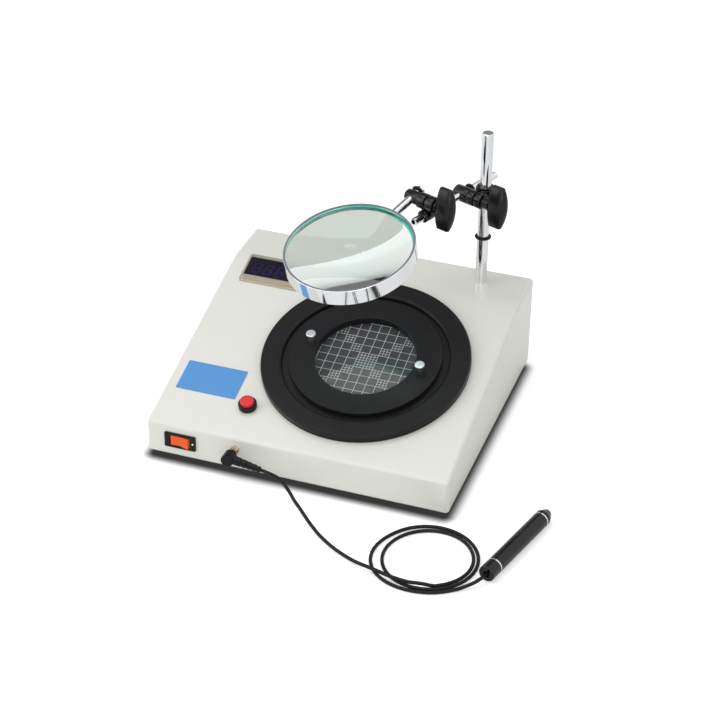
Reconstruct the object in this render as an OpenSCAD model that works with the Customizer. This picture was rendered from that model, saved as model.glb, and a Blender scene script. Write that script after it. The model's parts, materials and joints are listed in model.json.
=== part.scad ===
/* [Casing] */
// Width of the casing
body_width = 310; // [290:1:360]
// Depth of the casing from front wall to rear wall
body_depth = 292; // [285:1:340]
// Height of the front wall
front_height = 34; // [32:1:46]
// Height of the rear wall
rear_height = 98; // [90:1:115]
// Depth of the flat deck behind the slope
deck_depth = 60; // [52:1:66]
// Radius of the soft bend between slope and deck
bend_radius = 110; // [40:5:140]
// Radius of the casing's outer edges
edge_radius = 4; // [3:0.5:6]
// Thickness of the sheet steel
wall = 1.5; // [1:0.1:2]
// Thickness of the bottom plate
plate_thickness = 1.5; // [1:0.1:3]
// Width of the lip that carries the bottom plate
lip_width = 12; // [10:0.5:16]
// Height of the rubber feet
foot_height = 6.5; // [5:0.5:10]
// Radius of the rubber feet
foot_radius = 10; // [8:0.5:14]
// Distance of the feet from the casing's sides
foot_inset = 30; // [26:1:50]

/* [Stage] */
// Distance of the stage right of the casing's middle
stage_x = 29.5; // [10:0.5:40]
// Distance of the stage flange from the slope's lower end
stage_front_margin = 23; // [20:0.5:30]
// Distance of the stage flange from the fold
stage_fold_margin = 7.7; // [6:0.1:14]
// Width of the flange's raised rim
flange_rim = 21.5; // [18:0.5:26]
// Height of the flange above the panel
flange_height = 8; // [6:0.5:12]
// Depth of the recess that the dish ring turns in
recess_depth = 4; // [3:0.5:5]
// Gap between the recess wall and the dish ring
ring_gap = 7; // [3:0.5:10]
// Width of the dish ring's band
ring_band = 25.5; // [23:0.5:28]
// Thickness of the dish ring
ring_thickness = 5.7; // [4:0.1:9]
// Reach of the ruled glass beyond the opening for the dish
glass_margin = 8.7; // [7:0.1:11]
// Thickness of the ruled glass
glass_thickness = 3; // [2:0.5:5]
// Distance of the two posts from the opening's edge
post_inset = 8.3; // [6:0.1:15]
// Turn of the posts' line from the casing's width
post_turn = 6; // [0:1:45]
// Height of the posts above the dish ring
post_height = 10; // [7:0.5:16]
// Depth of the light well below the panel
well_depth = 30; // [26:1:32]
// Radius of the lamp tube
lamp_radius = 6; // [4:0.5:7]

/* [Display] */
// Distance of the display's middle from the left side
display_from_left = 52.3; // [48:0.1:58]
// Distance of the display's middle down from the fold
display_from_fold = 18.5; // [17:0.5:24]
// Width of the bezel
bezel_width = 67; // [66:0.5:74]
// Length of the bezel along the slope
bezel_length = 38; // [36:0.5:44]
// Height of the bezel above the panel
bezel_height = 5.5; // [4:0.5:8]
// Width of the window
window_width = 60; // [50:0.5:61]
// Length of the window along the slope
window_length = 26; // [22:0.5:28]
// Number of digits
digits = 4; // [3:1:5]

/* [Label] */
// Distance of the label's middle from the left side
label_from_left = 43.3; // [38:0.1:48]
// Distance of the label's middle up the slope
label_s = 66.2; // [62:0.1:80]
// Width of the label
label_width = 63; // [50:0.5:70]
// Length of the label along the slope
label_length = 37.4; // [30:0.1:42]
// Thickness of the label
label_thickness = 0.6; // [0.4:0.1:1.5]

/* [Controls] */
// Distance of the push-button from the left side
button_from_left = 91; // [60:1:94]
// Distance of the push-button up the slope
button_s = 42; // [26:1:44]
// Outer radius of the button's collar
collar_radius = 9.2; // [8.6:0.1:12]
// Height of the button's collar
collar_height = 6; // [4:0.5:9]
// Radius of the button's cap
cap_radius = 7; // [5.5:0.1:7.4]
// Travel of the push-button
button_travel = 3; // [1:0.5:3.5]
// Distance of the switch's middle from the left side
switch_from_left = 35.8; // [30:0.1:42]
// Height of the switch's middle above the casing's lower edge
switch_height = 17.5; // [16:0.1:19]
// Width of the switch's bezel
switch_width = 32.6; // [31:0.1:36]
// Height of the switch's bezel
switch_bezel_height = 16.4; // [16.2:0.1:20]
// Length of the rocker
rocker_length = 20.6; // [18:0.1:22]
// Height of the rocker
rocker_height = 11; // [8:0.1:11.4]
// Angle that the rocker turns through
rocker_turn = 16; // [10:1:18]
// Distance of the jack from the left side
jack_from_left = 93; // [80:1:100]
// Height of the jack above the casing's lower edge
jack_height = 21; // [18:0.5:23]
// Length of the jack's bush in front of the casing
jack_proud = 5; // [4:0.5:8]

/* [Rod] */
// Distance of the support rod from the right side
rod_from_right = 50; // [36:1:60]
// Distance of the support rod from the rear wall
rod_from_rear = 26; // [20:1:34]
// Radius of the support rod
rod_radius = 6; // [5:0.1:7]
// Height of the support rod above the deck
rod_height = 170; // [150:1:220]
// Height of the rod's stop ring above the deck
stop_height = 53; // [20:1:58]
// Height of the clamp above the deck
clamp_height = 101; // [98:1:112]
// Turn of the arm from the casing's depth
arm_turn = 21; // [10:1:30]

/* [Arm] */
// Distance of the rod clamp's bolt from the support rod
rod_bolt_offset = 13.5; // [13:0.1:19]
// Radius of the rod clamp's jaws
rod_jaw_radius = 8.2; // [7:0.1:8.4]
// Thickness of one jaw of the rod clamp
rod_jaw_thickness = 7.5; // [6:0.1:9]
// Slot between two jaws
jaw_slot = 1.5; // [1:0.1:2.5]
// Radius of the studs
stud_radius = 4; // [3:0.1:4.2]
// Distance of the cross rod from the support rod's plane
cross_reach = 18; // [17.6:0.1:21]
// Radius of the cross rod
cross_radius = 4; // [3.5:0.1:4.2]
// Length of the cross rod behind the rod clamp's bolt
cross_rear = 53.5; // [41:0.5:58]
// Length of the cross rod in front of the rod clamp's bolt
cross_front = 79; // [72:0.5:84]
// Distance of the cross rod's stop ring behind that bolt
cross_stop_distance = 12; // [11.8:0.1:13]
// Distance between the bolts of the two clamps
arm_reach = 56.5; // [52:0.5:62]
// Height of the arm clamp's bolt above the cross rod
arm_bolt_offset = 12.5; // [12.4:0.1:15]
// Radius of the arm clamp's jaws
arm_jaw_radius = 8.2; // [7.8:0.1:10]
// Thickness of one jaw of the arm clamp
arm_jaw_thickness = 9; // [7:0.1:9.4]
// Distance of the lens handle from the cross rod's plane
handle_reach = 19; // [16.8:0.1:22]
// Radius of the lens handle
handle_radius = 4.7; // [4:0.1:5.5]

/* [Knobs] */
// Half the length of the clamp knobs
knob_radius = 22.5; // [18:0.5:24]
// Half the width of the clamp knobs
knob_half_width = 7.3; // [6.8:0.1:9]
// Half the width of the knobs' ends
knob_end = 2.3; // [1.6:0.1:4]
// Lean of the knobs to the rear
knob_lean = 4; // [0:1:45]
// Width of a knob's rim
rim_width = 11.5; // [9:0.5:13]
// Length of the rod clamp knob's hub
rod_hub_length = 9.5; // [6:0.5:12]
// Length of the arm clamp knob's hub
arm_hub_length = 4; // [2:0.5:6]

/* [Lens] */
// Tilt of the lens below the horizontal
lens_tilt = 14; // [8:1:20]
// Distance of the lens centre from the arm clamp's bolt
lens_reach = 98; // [92:1:110]
// Outer radius of the lens ring
lens_ring_radius = 65; // [58:0.5:66]
// Depth of the lens ring
lens_ring_depth = 17; // [15:0.5:22]
// Wall of the lens ring
lens_ring_wall = 1.6; // [1.4:0.1:4]
// Thickness of the glass at its edge
lens_edge = 7; // [3:0.5:8]
// Rise of each face of the glass above its edge
lens_rise = 3.5; // [3:0.5:7]

/* [Probe] */
// Diameter of the lead
lead_diameter = 3.5; // [3:0.1:3.7]
// Distance of the plug's elbow in front of the casing
elbow_distance = 15; // [15:0.5:18]
// Slope of the plug's sleeve
sleeve_slope = 10; // [5:1:15]
// Length of the plug's sleeve
sleeve_length = 25; // [20:1:28]
// Radius of the pen
pen_radius = 8; // [7:0.1:9]
// Length of the pen's barrel
barrel_length = 83; // [70:1:100]

/* [Hidden] */
$fn = 64;

// Clearances: a running fit, a face that turns past another, a seat under the sheet, and a cut's overshoot
fit = 0.05;
face_gap = 0.2;
seat_gap = 0.1;
over = 1;
sheet_under = wall + seat_gap;

// Casing: the slope's angle and length, and the places that follow from the driving sizes
base_z = foot_height + plate_thickness;
deck_z = base_z + rear_height;
slope_run = body_depth - deck_depth;
slope_rise = rear_height - front_height;
slope = atan2(slope_rise, slope_run);
slope_length = norm([slope_run, slope_rise]);
cross_rear_end = cross_rear - rod_bolt_offset;
arm_overhang = cross_reach * sin(arm_turn) + cross_rear_end * cos(arm_turn)
  + cross_radius * sin(arm_turn) - rod_from_rear;
front_y = (jack_proud - body_depth - arm_overhang) / 2;
rear_y = front_y + body_depth;
mid_y = front_y + body_depth / 2;
left_x = -body_width / 2;
bend_steps = 4;
bend_y = front_y + slope_run + bend_radius * tan(slope / 2);
bend_z = deck_z - bend_radius;
corner_x = body_width / 2 - edge_radius;
edge_fn = 24;
plate_inset = 2;
label_corner = 0.8;

// Screws of the casing
base_screw_radius = 1.5;
base_screw_head = 3;
base_screw_head_height = 2;
base_screw_tip = 3;
base_screw_end_gap = 40;
foot_screw_radius = 2;
foot_screw_head = 4;
foot_screw_head_height = 2.2;
foot_screw_sink = 0.8;
nut_height = 3.2;
nut_radius = 4;
foot_taper = 1;

// Stage: radii from the rim inwards, then heights above the panel
flange_radius = (slope_length - stage_front_margin - stage_fold_margin) / 2;
stage_s = stage_front_margin + flange_radius;
recess_radius = flange_radius - flange_rim;
ring_radius = recess_radius - ring_gap;
dish_radius = ring_radius - ring_band;
glass_radius = dish_radius + glass_margin;
post_circle = dish_radius + post_inset;
recess_floor = flange_height - recess_depth;
bore_radius = glass_radius + 0.3;
glass_top = recess_floor - 2.5;
glass_seat = glass_top - glass_thickness;
ledge_width = 7;
ledge_thickness = 3;
boss_radius = bore_radius + 2;
boss_bottom = glass_seat - ledge_thickness;
ring_bottom = recess_floor + 0.3;
ring_top = ring_bottom + ring_thickness;
spigot_bottom = glass_top + 0.5;
flange_fillet = 1.5;
ring_fillet = 0.8;
recess_fillet = 0.75 * recess_depth;
screw_circle = (recess_radius + flange_radius) / 2;
stage_screw_radius = 1.5;
stage_screw_head = 3;
stage_screw_head_height = 2.2;
stage_screw_reach = 0.6 * flange_height;
post_stem = 2.9;
post_spigot = 2;
post_spigot_depth = 0.6 * ring_thickness;
post_head = 5;
post_head_height = 3.5;
post_fillet = 1.2;
well_wall = 1.2;
well_rim = screw_circle - flange_rim / 3;
well_edge = flange_radius - 3;
well_floor_radius = boss_radius + lamp_radius;
lamp_circle = boss_radius + lamp_radius - 2;
lamp_h = -well_depth / 2 - 2;
clip_wall = 1;
clip_angle = 8;

// Display
display_x = left_x + display_from_left;
display_s = slope_length - display_from_fold;
bezel_depth = 4;
bezel_step = 0.45 * bezel_height;
bezel_ledge = 2.2;
bezel_corner = 1.6;
window_corner = 0.6;
bezel_gap = 0.1;
pane_thickness = 2;
pane_margin = 1;
pane_width = window_width + 2 * pane_margin;
pane_length = window_length + 2 * pane_margin;
pane_sink = 0.9;
pane_top = bezel_height - pane_sink;
pane_bottom = pane_top - pane_thickness;
digit_gap = 0.6;
digit_margin = 4;
digit_pitch = (window_width - 2 * digit_margin) / digits;
digit_length = 0.72 * window_length;
board_thickness = 1.6;
board_h = -8;
spacer_radius = 2;

// Controls
button_x = left_x + button_from_left;
bush_wall = 2;
cap_gap = 0.2;
button_bush = cap_radius - 1;
button_bush_depth = 14;
collar_floor = 1;
collar_fillet = 0.8;
cap_fillet = 1.5;
cap_bottom = collar_floor + button_travel + 0.2;
cap_top = collar_height + 4;
button_stem = 3;
stem_bottom = cap_bottom - 9;
button_nut_radius = button_bush + 3;
button_nut_height = 3;
switch_x = left_x + switch_from_left;
switch_z = base_z + switch_height;
switch_face = 2;
switch_corner = 1;
housing_width = switch_width - 5;
housing_height = switch_bezel_height - 2;
housing_depth = 22;
rocker_gap = 0.3;
rocker_pivot = -1;
rocker_pin = 1.2;
rocker_pin_length = rocker_height + 2.4;
rocker_middle = 2.8;
rocker_end = 4.5;
rocker_low = 7;
pocket_depth = rocker_low + 3;
blade_width = 6.3;
blade_thickness = 0.8;
blade_length = 8;
jack_x = left_x + jack_from_left;
jack_z = base_z + jack_height;
jack_bush = 3.9;
jack_bore = 1.8;
jack_body = 12;
jack_body_depth = 16;
jack_nut_radius = 5.2;
jack_nut_height = 2.6;
jack_nut_fillet = 0.5;

// Inside of the casing and its rear
standoff_height = 8;
standoff_radius = 2.5;
board_width = 90;
board_length = 60;
board_edge = 5;
counter_from_left = 74;
counter_from_rear = 70;
counter_x = left_x + counter_from_left;
counter_y = rear_y - counter_from_rear;
chip_width = 18;
chip_length = 12;
chip_height = 4;
chip_step = 26;
capacitor_radius = 6;
capacitor_height = 16;
core_width = 54;
core_height = 45;
core_depth = 20;
coil_depth = 34;
coil_width = 30;
coil_height = 29;
transformer_foot = 12;
transformer_strap = 2;
transformer_from_right = 59;
transformer_from_rear = 61;
transformer_x = body_width / 2 - transformer_from_right;
transformer_y = rear_y - transformer_from_rear;
grommet_from_left = 62;
grommet_height = 24.5;
grommet_x = left_x + grommet_from_left;
grommet_z = base_z + grommet_height;
grommet_radius = 8;
grommet_neck = 6;
grommet_bore = 3.6;
grommet_face = 3;
grommet_back = 2.5;
grommet_fillet = 1;
grommet_flange = grommet_radius - 0.6;

// Rod and clamps
rod_x = body_width / 2 - rod_from_right;
rod_y = rear_y - rod_from_rear;
clamp_z = deck_z + clamp_height;
rod_tail = rod_radius - 1;
rod_tail_length = 14;
rod_nut_radius = 9;
rod_nut_height = 8;
rod_nut_flange = 13;
rod_nut_flange_height = 2;
rod_chamfer = 0.8;
stop_section = 1.2;
bush_radius = rod_radius + 1.2;
bush_low = rod_jaw_radius + 1.3;
bush_collar = 1.2;
bush_collar_height = 2;
bush_fillet = 0.6;
collar_outer = bush_radius + bush_collar;
lip_thickness = 2.5;
rod_jaw_face = jaw_slot / 2 + rod_jaw_thickness;
arm_jaw_face = jaw_slot / 2 + arm_jaw_thickness;
cross_head_end = cross_reach + 8;
cross_bore = 2.4;
swivel_radius = arm_jaw_radius - 1.5;
swivel_end = handle_reach + handle_radius + 2.5;
stud_engage = 10;
head_chamfer = 1.2;
hub_radius = 6.5;
knob_bore_depth = 0.7 * rim_width;
knob_bulge = knob_half_width - knob_end;
knob_bow = (knob_radius * knob_radius + knob_bulge * knob_bulge) / (2 * knob_bulge);
knob_fn = 180;
head_screw_radius = 2;
head_screw_length = swivel_radius - handle_radius - 0.4;
handle_stop_distance = swivel_radius + stop_section + 0.3;
handle_tail = handle_stop_distance + 4.5;
handle_spigot = 3;

// Lens
lens_seat_radius = lens_ring_radius - lens_ring_wall;
lens_radius = lens_seat_radius - 0.1;
lens_lip = 0.9;
lens_lip_height = 0.7;
retainer_height = 2.5;
lens_fillet = 0.5;
lens_sphere = (lens_radius * lens_radius + lens_rise * lens_rise) / (2 * lens_rise);
lip_radius = lens_seat_radius - lens_lip;
lip_drop = lens_sphere - sqrt(lens_sphere * lens_sphere - lip_radius * lip_radius);
glass_reach = lens_edge / 2 + lens_rise - lip_drop + 2 * fit;
glass_lift = lens_ring_depth / 2 - lens_lip_height - glass_reach;
lens_fn = 240;

// Plug: the elbow's place and the point where the lead leaves the sleeve
elbow = [jack_x, front_y - elbow_distance, jack_z];
elbow_radius = 6.4;
elbow_fillet = 1.4;
plug_pin = 1.75;
plug_pin_length = 12;
plug_collar = 3.4;
barrel_radius = 4.6;
barrel_reach = 8;
sleeve_tip_radius = 3;
rib_count = 4;
rib_pitch = 2.6;
rib_depth = 0.8;
sleeve_way = [cos(sleeve_slope), 0, -sin(sleeve_slope)];
function sleeve_radius(along) =
  barrel_radius + (sleeve_tip_radius - barrel_radius) * along / sleeve_length;
plug_exit = elbow + (barrel_reach + sleeve_length) * sleeve_way;

// Pen: the middle of its rear face, its heading on the floor and its lengths
pen_x = 214.5;
pen_y = -228;
pen_turn = 75;
pen_cap_length = 14;
pen_ring_width = 1.4;
pen_nose_length = 12;
pen_nose_radius = 4.6;
pen_recess = 3.4;
pen_recess_depth = 5;
pen_fillet = 1.2;
pen_tip_radius = 2.2;
pen_tip_proud = 3;
pen_tip_travel = 1.5;
pen_tip_inside = 6;
pen_way = [cos(pen_turn), sin(pen_turn), 0];
pen_rear = [pen_x, pen_y, pen_radius];
front_cap_start = pen_cap_length + barrel_length + 2 * pen_ring_width;

// Lead: hand-chosen points from the plug over the floor, then the coil and the tail to the pen
lead_radius = lead_diameter / 2;
lead_floor = lead_radius + 0.05;
end_run = 4;
lead_points = [
  [-13, -169.5, 20.3],
  [-5, -170.5, 15],
  [2, -172.5, 8],
  [9, -177.5, 3],
  [17, -185, 1.9],
  [27, -196, 1.9],
  [37, -206.5, 1.9],
  [51, -219.5, 1.9],
  [67, -231, 1.9],
  [82, -239.5, 2.3],
  [95, -246, 3.4],
  [107, -250.7, 5],
  [118, -254.5, 6],
  [129, -257.5, 6.1],
  [140, -259.5, 6.1],
  [150, -260.2, 6],
  [157, -259, 5.8],
  [163.5, -257, 4.9],
  [169.5, -254.8, 3.2]
];
tail_points = [
  [194, -250.3, 2],
  [200.5, -244.9, 3.1],
  [207, -240.6, 5.6],
  [211.2, -236, 7.6]
];
coil_centre = [153, -215];
coil_start = -55;
coil_turns = 2;
coil_rings = 24;
coil_radius = 41;
coil_pitch = 4.5;
coil_end = coil_start + 360 * coil_turns;

// A bell-shaped swell of the given half-width round an angle
function bell(angle, middle, reach) =
  abs(angle - middle) < reach ? (1 + cos(180 * (angle - middle) / reach)) / 2 : 0;

// Radius of the coil: a steady spiral, a little off its middle, drawn in and let out on its left side
function coil_r(angle) = coil_radius + coil_pitch * (angle - coil_start) / 360
  + 3 * cos(angle + 20) - 0.6 * bell(angle, coil_start, 60) - 3 * bell(angle, 150, 110)
  + 5 * bell(angle, 575, 75);
function coil_point(angle) = [
  coil_centre.x + coil_r(angle) * cos(angle),
  coil_centre.y + coil_r(angle) * sin(angle),
  lead_floor
];
function unit(v) = v / norm(v);
function coil_way(angle) = unit(coil_point(angle + 1) - coil_point(angle - 1));

coil_path = [for (i = [0 : coil_rings * coil_turns]) coil_point(coil_start + i * 360 / coil_rings)];
coil_in = coil_point(coil_start);
coil_out = coil_point(coil_end);
lead_route = concat(
  [plug_exit, plug_exit + end_run * sleeve_way],
  lead_points,
  [coil_in - end_run * coil_way(coil_start), coil_in]
);
tail_route = concat(
  [coil_out, coil_out + end_run * coil_way(coil_end)],
  tail_points,
  [pen_rear - end_run * pen_way, pen_rear + pen_recess_depth * pen_way]
);

// A smooth curve through the route's points, with one point between each two
function between(a, b, c, d) = (9 * (b + c) - a - d) / 16;
function smooth(route) = [
  for (i = [0 : len(route) - 2])
    each i == 0 || i == len(route) - 2
      ? [route[i]]
      : [route[i], between(route[i - 1], route[i], route[i + 1], route[i + 2])],
  route[len(route) - 1]
];
lead_path = smooth(lead_route);
tail_path = smooth(tail_route);

// The least gap between stretches of cord that lie more than a third of a turn apart
whole_path = concat(lead_path, [for (i = [1 : len(coil_path) - 1]) coil_path[i]],
  [for (i = [1 : len(tail_path) - 1]) tail_path[i]]);
neighbour_steps = 8;
function segment_gap(p, a, b) =
  let (t = max(0, min(1, (p - a) * (b - a) / ((b - a) * (b - a)))))
  norm(p - a - t * (b - a));
cord_gap = min([
  for (i = [0 : len(whole_path) - 1])
    for (j = [i + neighbour_steps : 1 : len(whole_path) - 2])
      segment_gap(whole_path[i], whole_path[j], whole_path[j + 1])
]) - lead_diameter;
function path_length(path) =
  len(path) < 2 ? 0 : [for (i = 1, s = 0; i <= len(path); s = s + (i < len(path)
    ? norm(path[i] - path[i - 1]) : 0), i = i + 1) s][len(path) - 1];
echo(least_gap_of_the_cord = cord_gap, length_of_the_cord = path_length(whole_path));

// Frames: a place on the sloping panel, on the front wall and on the rear wall
module at_panel(x, s, h = 0) {
  translate([x, front_y, base_z + front_height])
    rotate([slope, 0, 0])
      translate([0, s, h])
        children();
}

module at_front(x, z) {
  translate([x, front_y, z]) rotate([90, 0, 0]) children();
}

module at_rear(x, z) {
  translate([x, rear_y, z]) rotate([-90, 0, 0]) children();
}

module at_stage() {
  at_panel(stage_x, stage_s) children();
}

module at_screw_circle() {
  for (i = [0 : 3]) rotate([0, 0, 45 + 90 * i]) translate([screw_circle, 0, 0]) children();
}

module at_feet() {
  for (x = [-1, 1], y = [-1, 1])
    translate([x * (body_width / 2 - foot_inset), mid_y + y * (body_depth / 2 - foot_inset), 0])
      children();
}

module at_base_screws() {
  for (x = [-1, 1], y = [-1 : 1])
    translate([
      x * (body_width / 2 - wall - lip_width / 2),
      mid_y + y * (body_depth / 2 - base_screw_end_gap),
      foot_height
    ])
      children();
}

// Frames of the arm: the rod clamp, the cross rod, the arm clamp, the handle and the lens
module along_x() {
  rotate([0, 90, 0]) children();
}

module at_rod(h) {
  translate([rod_x, rod_y, deck_z + h]) children();
}

module at_clamp() {
  at_rod(clamp_height) rotate([0, 0, -arm_turn]) children();
}

module at_rod_bolt() {
  at_clamp() translate([0, -rod_bolt_offset, 0]) children();
}

module at_cross() {
  at_rod_bolt() translate([-cross_reach, 0, 0]) rotate([-90, 0, 0]) children();
}

module at_arm() {
  at_cross() translate([0, 0, -arm_reach]) children();
}

module at_arm_bolt() {
  at_arm() translate([0, -arm_bolt_offset, 0]) children();
}

module at_handle() {
  at_arm_bolt() translate([-handle_reach, 0, 0]) rotate([lens_tilt, 0, 0]) children();
}

module at_lens() {
  at_handle() translate([0, 0, -lens_reach]) rotate([90, 0, 0]) children();
}

module at_glass() {
  at_lens() translate([0, 0, glass_lift]) children();
}

module at_elbow_sleeve() {
  translate(elbow) rotate([0, 90 + sleeve_slope, 0]) children();
}

module at_pen(along) {
  translate(pen_rear + along * pen_way) rotate([0, 0, pen_turn]) along_x() children();
}

// Flat shapes: a rounded rectangle, a ring's section with round upper corners, and a round-edged band
module rounded_rect(width, length, radius) {
  square([width - 2 * radius, length], center = true);
  square([width, length - 2 * radius], center = true);
  for (x = [-1, 1], y = [-1, 1])
    translate([x * (width / 2 - radius), y * (length / 2 - radius)]) circle(r = radius);
}

module crowned(inner, outer, low, high, fillet) {
  translate([inner, low]) square([outer - inner, high - low - fillet]);
  translate([inner + fillet, low]) square([outer - inner - 2 * fillet, high - low]);
  for (x = [inner + fillet, outer - fillet]) translate([x, high - fillet]) circle(r = fillet);
}

module band(inner, outer, low, high, fillet) {
  crowned(inner, outer, low + fillet, high, fillet);
  translate([inner + fillet, low]) square([outer - inner - 2 * fillet, 2 * fillet]);
  for (x = [inner + fillet, outer - fillet]) translate([x, low + fillet]) circle(r = fillet);
}

module o_ring(radius) {
  rotate_extrude() translate([radius + stop_section + fit, 0]) circle(r = stop_section, $fn = 24);
}

// Casing
function bend_centre(angle) = [
  bend_y - (bend_radius - edge_radius) * sin(angle),
  bend_z + (bend_radius - edge_radius) * cos(angle)
];
edge_centres = concat(
  [[front_y + edge_radius, base_z + front_height + edge_radius * (tan(slope) - 1 / cos(slope))]],
  [for (i = [0 : bend_steps]) bend_centre(slope * (1 - i / bend_steps))],
  [[rear_y - edge_radius, deck_z - edge_radius]]
);

module casing_form(radius, low) {
  hull()
    for (x = [-corner_x, corner_x]) {
      for (p = edge_centres) translate([x, p[0], p[1]]) sphere(r = radius, $fn = edge_fn);
      for (y = [front_y + edge_radius, rear_y - edge_radius])
        translate([x, y, low]) cylinder(r = radius, h = over, $fn = edge_fn);
    }
}

module casing_lip() {
  translate([0, mid_y, base_z])
    linear_extrude(wall)
      difference() {
        rounded_rect(body_width - wall, body_depth - wall, edge_radius - wall / 2);
        square([body_width - 2 * (wall + lip_width), body_depth - 2 * (wall + lip_width)], center = true);
      }
}

module panel_cuts() {
  at_stage() {
    translate([0, 0, -wall - over]) cylinder(r = boss_radius + fit, h = wall + 2 * over);
    at_screw_circle()
      translate([0, 0, -wall - over]) cylinder(r = stage_screw_radius + fit, h = wall + 2 * over);
  }
  at_panel(display_x, display_s, -bezel_depth - over)
    linear_extrude(bezel_depth + 2 * over)
      rounded_rect(bezel_width + 2 * bezel_gap, bezel_length + 2 * bezel_gap, bezel_corner);
  at_panel(button_x, button_s, -wall - over) cylinder(r = button_bush + fit, h = wall + 2 * over);
}

module wall_cuts() {
  at_front(switch_x, switch_z)
    translate([0, 0, -wall - over])
      linear_extrude(wall + 2 * over)
        square([housing_width + 2 * fit, housing_height + 2 * fit], center = true);
  at_front(jack_x, jack_z)
    translate([0, 0, -wall - over]) cylinder(r = jack_bush + fit, h = wall + 2 * over);
  at_rear(grommet_x, grommet_z)
    translate([0, 0, -wall - over]) cylinder(r = grommet_neck, h = wall + 2 * over);
  at_rod(-wall - over) cylinder(r = rod_tail + fit, h = wall + 2 * over);
}

module top_shell() {
  color("#e2e2da")
    difference() {
      union() {
        difference() {
          casing_form(edge_radius, base_z);
          casing_form(edge_radius - wall, base_z - over);
        }
        casing_lip();
      }
      panel_cuts();
      wall_cuts();
      at_base_screws() cylinder(r = base_screw_radius + fit, h = plate_thickness + wall + over);
    }
}

module bottom_plate() {
  color("#3a3a3a")
    difference() {
      translate([0, mid_y, foot_height])
        linear_extrude(plate_thickness)
          rounded_rect(body_width - 2 * plate_inset, body_depth - 2 * plate_inset, edge_radius);
      at_base_screws()
        translate([0, 0, -over]) cylinder(r = base_screw_radius + fit, h = plate_thickness + 2 * over);
      at_feet() cylinder(r = foot_screw_radius + fit, h = base_z + over);
    }
}

module base_screws() {
  color("#b8b8b8")
    at_base_screws() {
      translate([0, 0, -base_screw_head_height]) cylinder(r = base_screw_head, h = base_screw_head_height);
      cylinder(r = base_screw_radius, h = plate_thickness + wall + base_screw_tip);
    }
}

module rubber_feet() {
  color("#202020")
    at_feet()
      difference() {
        cylinder(r1 = foot_radius - foot_taper, r2 = foot_radius, h = foot_height);
        translate([0, 0, -over])
          cylinder(r = foot_screw_head + fit, h = over + foot_screw_sink + foot_screw_head_height);
        cylinder(r = foot_screw_radius + fit, h = foot_height + over);
      }
}

module foot_screws() {
  color("#b8b8b8")
    at_feet()
      translate([0, 0, foot_screw_sink]) {
        cylinder(r = foot_screw_head, h = foot_screw_head_height);
        cylinder(r = foot_screw_radius, h = base_z + nut_height);
      }
}

module foot_nuts() {
  color("#c0c0c0")
    at_feet()
      translate([0, 0, base_z])
        difference() {
          cylinder(r = nut_radius, h = nut_height, $fn = 6);
          translate([0, 0, -over]) cylinder(r = foot_screw_radius + fit, h = nut_height + 2 * over);
        }
}

module label_plate() {
  color("#5296d6")
    at_panel(left_x + label_from_left, label_s)
      linear_extrude(label_thickness)
        rounded_rect(label_width, label_length, label_corner);
}

module cord_grommet() {
  color("#1c1c1c")
    at_rear(grommet_x, grommet_z)
      rotate_extrude()
        difference() {
          union() {
            crowned(0, grommet_radius, 0, grommet_face, grommet_fillet);
            translate([0, -sheet_under - grommet_back]) square([grommet_flange, grommet_back]);
            translate([0, -sheet_under - over]) square([grommet_neck - fit, sheet_under + 2 * over]);
          }
          translate([-grommet_bore, -2 * grommet_radius]) square([2 * grommet_bore, 4 * grommet_radius]);
          translate([-2 * grommet_radius, -2 * grommet_radius])
            square([2 * grommet_radius, 4 * grommet_radius]);
        }
}

// Stage
module stage_flange() {
  color("#242424")
    at_stage()
      difference() {
        rotate_extrude($fn = 128)
          difference() {
            union() {
              crowned(bore_radius - ledge_width - 4 * over, flange_radius, 0, flange_height, flange_fillet);
              translate([0, boss_bottom]) square([boss_radius, over - boss_bottom]);
            }
            translate([0, recess_floor]) square([recess_radius, flange_height]);
            difference() {
              translate([recess_radius - over, flange_height - recess_fillet])
                square([recess_fillet + over, recess_fillet + over]);
              translate([recess_radius + recess_fillet, flange_height - recess_fillet])
                circle(r = recess_fillet);
            }
            translate([0, glass_seat]) square([bore_radius, flange_height - glass_seat]);
            translate([0, boss_bottom - over])
              square([bore_radius - ledge_width, flange_height - boss_bottom + 2 * over]);
          }
        at_screw_circle()
          translate([0, 0, -over]) cylinder(r = stage_screw_radius + fit, h = over + stage_screw_reach + 0.5);
      }
}

module stage_screws() {
  color("#b8b8b8")
    at_stage()
      at_screw_circle()
        translate([0, 0, -sheet_under - well_wall]) {
          translate([0, 0, -stage_screw_head_height])
            cylinder(r = stage_screw_head, h = stage_screw_head_height);
          cylinder(r = stage_screw_radius, h = sheet_under + well_wall + stage_screw_reach);
        }
}

module ruled_glass() {
  color("#6a7478")
    at_stage() translate([0, 0, glass_seat]) cylinder(r = glass_radius, h = glass_thickness, $fn = 128);
}

module light_well() {
  color("#f0f0ee")
    at_stage()
      difference() {
        rotate_extrude($fn = 128) {
          polygon([
            [well_rim, -sheet_under],
            [well_edge, -sheet_under],
            [well_edge, -sheet_under - well_wall],
            [well_rim, -sheet_under - well_wall],
            [well_floor_radius, -well_depth],
            [0, -well_depth],
            [0, -well_depth + well_wall],
            [well_floor_radius - well_wall / 2, -well_depth + well_wall],
            [well_rim - well_wall, -sheet_under]
          ]);
        }
        at_screw_circle()
          translate([0, 0, -well_depth]) cylinder(r = stage_screw_radius + fit, h = well_depth);
      }
}

module lamp_ring() {
  color("#fafafa")
    at_stage()
      translate([0, 0, lamp_h])
        rotate_extrude($fn = 128) translate([lamp_circle, 0]) circle(r = lamp_radius);
}

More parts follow.
